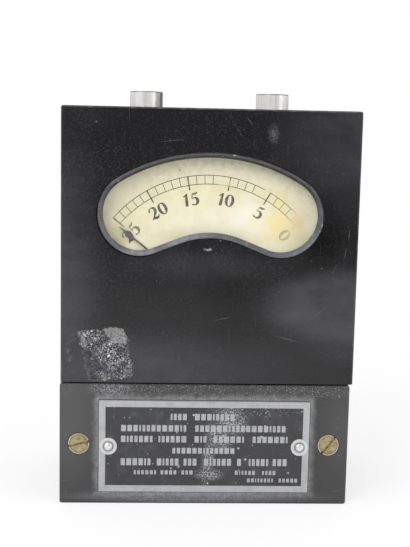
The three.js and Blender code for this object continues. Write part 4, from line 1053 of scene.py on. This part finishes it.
def cover_screws():
    cone, shank = 1.8, 1.75
    for side, degrees, burr, deep, wide in (("left", 9, 0.3, 0.5, 0.6), ("right", 52, 0.0, 0.55, 0.75)):
        name = f"cover_screw_{side}"
        low, high = corners(name)
        x, _, z = middle(name)
        head = (high.x - low.x) / 2
        profile = [
            (0, low.y + 0.03), (head * 0.6, low.y + 0.01), (head - 0.3, low.y), (head - 0.08, low.y + 0.06),
            (head, low.y + 0.2), (shank, low.y + cone), (shank, high.y - 0.6), (shank - 0.6, high.y),
            (0, high.y)]
        shell = Shell()
        shell.turned(profile, (x, 0, z))
        aged = brass(f"screw_brass_{side}", 0.8, 0.52, (x, z, head))
        piece = shell.piece(f"screw_{side}", [aged], f"{side}_screw", "brass")
        carve(piece, slot_cutter(x, z, low.y, deep, wide, head + 1, degrees, burr))
        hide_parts(name)


def contact_studs():
    # Painted shade: the stud's top chamfer is a dark copy of its nickel.
    rim_dark = nickel("stud_rim", 0.22, 0.8)
    stained = nickel("stud_stained", stain=STUD_STAIN)
    clean = nickel("stud_clean")
    # Partly wear and partly painted shade: the top face is a darker copy of the nickel, so the light from
    # above does not wash it out.
    face_worn_and_shaded = nickel("stud_face", 0.6, 0.7)
    foot, shank, chamfer = case_high.z + 0.1, 2.4, 0.3
    for side, seed, look_of_body in (("left", 3, stained), ("right", 8, clean)):
        name = f"contact_stud_{side}"
        low, high = corners(name)
        x, y, _ = middle(name)
        radius = (high.x - low.x) / 2
        body = [
            (0, low.z), (shank, low.z), (shank, foot), (radius - 0.25, foot), (radius, foot + 0.2),
            (radius, foot + 1.5), (radius, foot + 3), (radius, high.z - 1.2), (radius, high.z - chamfer)]
        rim = [body[-1], (radius - 0.1, high.z - 0.06), (radius - chamfer, high.z)]
        face = [rim[-1], (radius - 1.5, high.z - 0.05), (1.6, high.z - 0.12), (0, high.z - 0.14)]
        shell = Shell()
        for paint, profile in enumerate((body, rim, face)):
            shell.turned(profile, (x, y, 0), "Z", 96, paint, "open")
        for point in shell.points:
            if point.z > foot + 0.3:
                place = Vector((point.x - x, point.y - y, point.z * 0.6)) * 0.9 + Vector((seed, seed, 0))
                shrink = 1 - 0.012 * max(noise_at(place) - 0.1, 0) * 2
                point.x, point.y = x + (point.x - x) * shrink, y + (point.y - y) * shrink
        piece = shell.piece(f"stud_{side}", [look_of_body, rim_dark, face_worn_and_shaded], "case", "nickel", 25)
        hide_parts(name)


def battery_cell():
    low, high = corners("battery_cell")
    _, y, z = middle("battery_cell")
    radius, cap, cap_length = (high.z - low.z) / 2, 3.2, 2.0
    end = high.x - cap_length
    rolled = [(0.9, 0.5), (0.35, 0.1), (0.1, 0.3), (0, 0.8)]
    jacket = [(radius - inset, low.x + along) for inset, along in rolled]
    jacket.extend((radius - inset, end - along) for inset, along in reversed(rolled))
    base = [(0, low.x), (radius - 1.2, low.x), (radius - 1.2, low.x + 0.6), (0, low.x + 0.6)]
    button = [
        (cap + 0.4, end - 0.6), (cap + 0.2, end), (cap, end + 0.3), (cap, high.x - 0.3), (cap - 0.3, high.x),
        (0, high.x)]
    shell = Shell()
    for paint, (profile, sides) in enumerate(((jacket, 72), (base, 48), (button, 48))):
        shell.turned(profile, (0, y, z), "X", sides, paint)
    materials = [look["cell_jacket"], look["aluminium"], look["brass"]]
    piece = shell.piece("dry_cell", materials, "case", "cell_jacket", 30)
    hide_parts("battery_cell")


def resistance_spool():
    """Two flanges on a core with a bore, and the winding between them."""
    low, high = corners("resistor_spool")
    x, y, _ = middle("resistor_spool")
    radius = (high.x - low.x) / 2
    bore, flange, edge, core, wound = 2.2, 1.0, 0.15, 4.0, 4.4
    foot, top = low.z + flange, high.z - flange
    profile = [
        (bore, low.z), (radius - edge, low.z), (radius, low.z + edge), (radius, foot - edge),
        (radius - edge, foot), (core, foot), (core, top), (radius - edge, top), (radius, top + edge),
        (radius, high.z - edge), (radius - edge, high.z), (bore, high.z)]
    wire = [(core - 0.1, top - 0.05), (core - 0.1, foot + 0.05)]
    for i in range(int((top - foot - 0.2) / WIRE_PITCH)):
        start = foot + 0.1 + i * WIRE_PITCH
        wire.extend([(wound - 0.1, start), (wound, start + WIRE_PITCH / 2)])
    wire.append((wound - 0.1, wire[-1][1] + WIRE_PITCH / 2))
    shell = Shell()
    for paint, outline in enumerate((profile, wire)):
        shell.turned(outline, (x, y, 0), "Z", 48, paint, "joined")
    piece = shell.piece("resistance_spool", [look["cover_phenolic"], wire_cover()], "case", "copper", 50)
    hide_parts("resistor_spool")


def shell_edge(rows):
    """The indices round the edge of a grid of rows."""
    inner = rows[1:-1]
    return [*rows[0], *(row[-1] for row in inner), *reversed(rows[-1]), *(row[0] for row in reversed(inner))]


def label_residue():
    """A thin film on the front. Its material fades into the case before its edges."""
    cells, rim = 44, 1.2
    wide, tall = RESIDUE_WIDTH + 2 * rim, RESIDUE_HEIGHT + rim
    seam = corners("battery_cover")[1].z + 0.8
    shell = Shell()
    fronts, backs = [], []
    for j in range(cells + 1):
        up = (0.5 - j / cells) * tall + rim / 2
        front = []
        for i in range(cells + 1):
            across = (i / cells - 0.5) * wide
            x = RESIDUE_MIDDLE[0] + across - RESIDUE_LEAN * up
            z = RESIDUE_MIDDLE[1] + up + RESIDUE_RISE * across
            if z < seam:
                z = seam - (seam - z) * 0.02
            inside = min(i, cells - i, j, cells - j)
            height = 0.02 + 0.06 * abs(noise_at(Vector((x * 1.6, z * 1.6, 7)))) * min(inside / 5, 1)
            front.append((x, FRONT - height, z))
        fronts.append(shell.ring(front))
        backs.append(shell.ring((x, FRONT + 0.02, z) for x, _, z in front))
    shell.walls(fronts, closed=False)
    shell.walls(backs, closed=False)
    shell.wall(shell_edge(fronts), shell_edge(backs))
    shell.piece("label_residue", [case_phenolic("residue_film", True)], "case", "phenolic", 60)


# Stage


def add_camera():
    data = bpy.data.cameras.new("camera")
    data.sensor_fit = "VERTICAL"
    data.sensor_height = SENSOR
    data.lens = LENS
    camera = link("camera", data)
    right = CAMERA_FORWARD.cross(CAMERA_UP).normalized()
    up = right.cross(CAMERA_FORWARD).normalized()
    turn = Matrix((right, up, -CAMERA_FORWARD.normalized())).transposed().to_4x4()
    camera.matrix_world = Matrix.Translation(CAMERA_PLACE * MM) @ turn
    bpy.context.scene.camera = camera


def add_lamp(name, place, size, power):
    data = bpy.data.lights.new(name, "AREA")
    data.shape = "RECTANGLE"
    data.size, data.size_y = (side * MM for side in size)
    data.energy = power
    lamp = link(name, data)
    lamp.location = Vector(place) * MM
    lamp.rotation_euler = (LAMP_TARGET - Vector(place)).to_track_quat("-Z", "Y").to_euler()


def add_world():
    """White behind the object, softly bright round it, and a dim room in front of it."""
    world = bpy.data.worlds.new("studio")
    bpy.context.scene.world = world
    world.use_nodes = True
    way = Node("ShaderNodeTexCoord")["Generated"]
    room = Node("ShaderNodeSeparateXYZ", {0: way})["Y"].span(-0.9, -0.35, 0.02, 0.6)
    rays = Node("ShaderNodeLightPath")
    fill = Node("ShaderNodeMix", {"Factor": rays["Is Glossy Ray"], "A": 0.62, "B": room})[0]
    shown = most(rays["Is Camera Ray"], rays["Is Transmission Ray"])
    strength = Node("ShaderNodeMix", {"Factor": shown, "A": fill, "B": 1.0})[0]
    tree = Tree(world.node_tree)
    background = world.node_tree.nodes["Background"].inputs
    tree.put(background["Color"], 1.0)
    tree.put(background["Strength"], strength)


def add_floor():
    """A white table top whose front edge lies a little way before the object."""
    wide, near, far, slant = 2400, -480, 2400, 120
    edge = [(-wide, near - slant, 0), (wide, near + slant, 0), (wide, far, 0), (-wide, far, 0)]
    mesh = bpy.data.meshes.new("floor")
    mesh.from_pydata([Vector(point) * MM for point in edge], [], [(0, 1, 2, 3)])
    floor = link("floor", mesh)
    white = material("floor_white", 0.0, 0.9, 0.9, more={"Specular IOR Level": 0.0})
    nodes = white.node_tree.nodes
    away = Node("ShaderNodeVectorMath", {0: PLACE}, operation="LENGTH")["Value"]
    seen = away.span(60, 420, 0.7) * Node("ShaderNodeLightPath")["Is Camera Ray"]
    glow = Node("ShaderNodeEmission")[0]
    blend = Node("ShaderNodeMixShader", {0: seen, 1: nodes["Principled BSDF"].outputs[0], 2: glow})[0]
    Tree(white.node_tree).put(nodes["Material Output"].inputs["Surface"], blend)
    mesh.materials.append(white)


bpy.context.scene.view_settings.view_transform = "Standard"
add_camera()
add_world()
add_floor()
add_lamp("key", (-620, -760, 760), (800, 800), 8)
add_lamp("fill", (800, -520, 380), (500, 700), 3)
add_lamp("top", (0, 100, 1100), (900, 900), 3.5)

dress_nodes()
window_bezel()
window_glass()
dial_print()
pointer()
nameplate()
nameplate_rivets()
cover_screws()
contact_studs()
battery_cell()
resistance_spool()
label_residue()
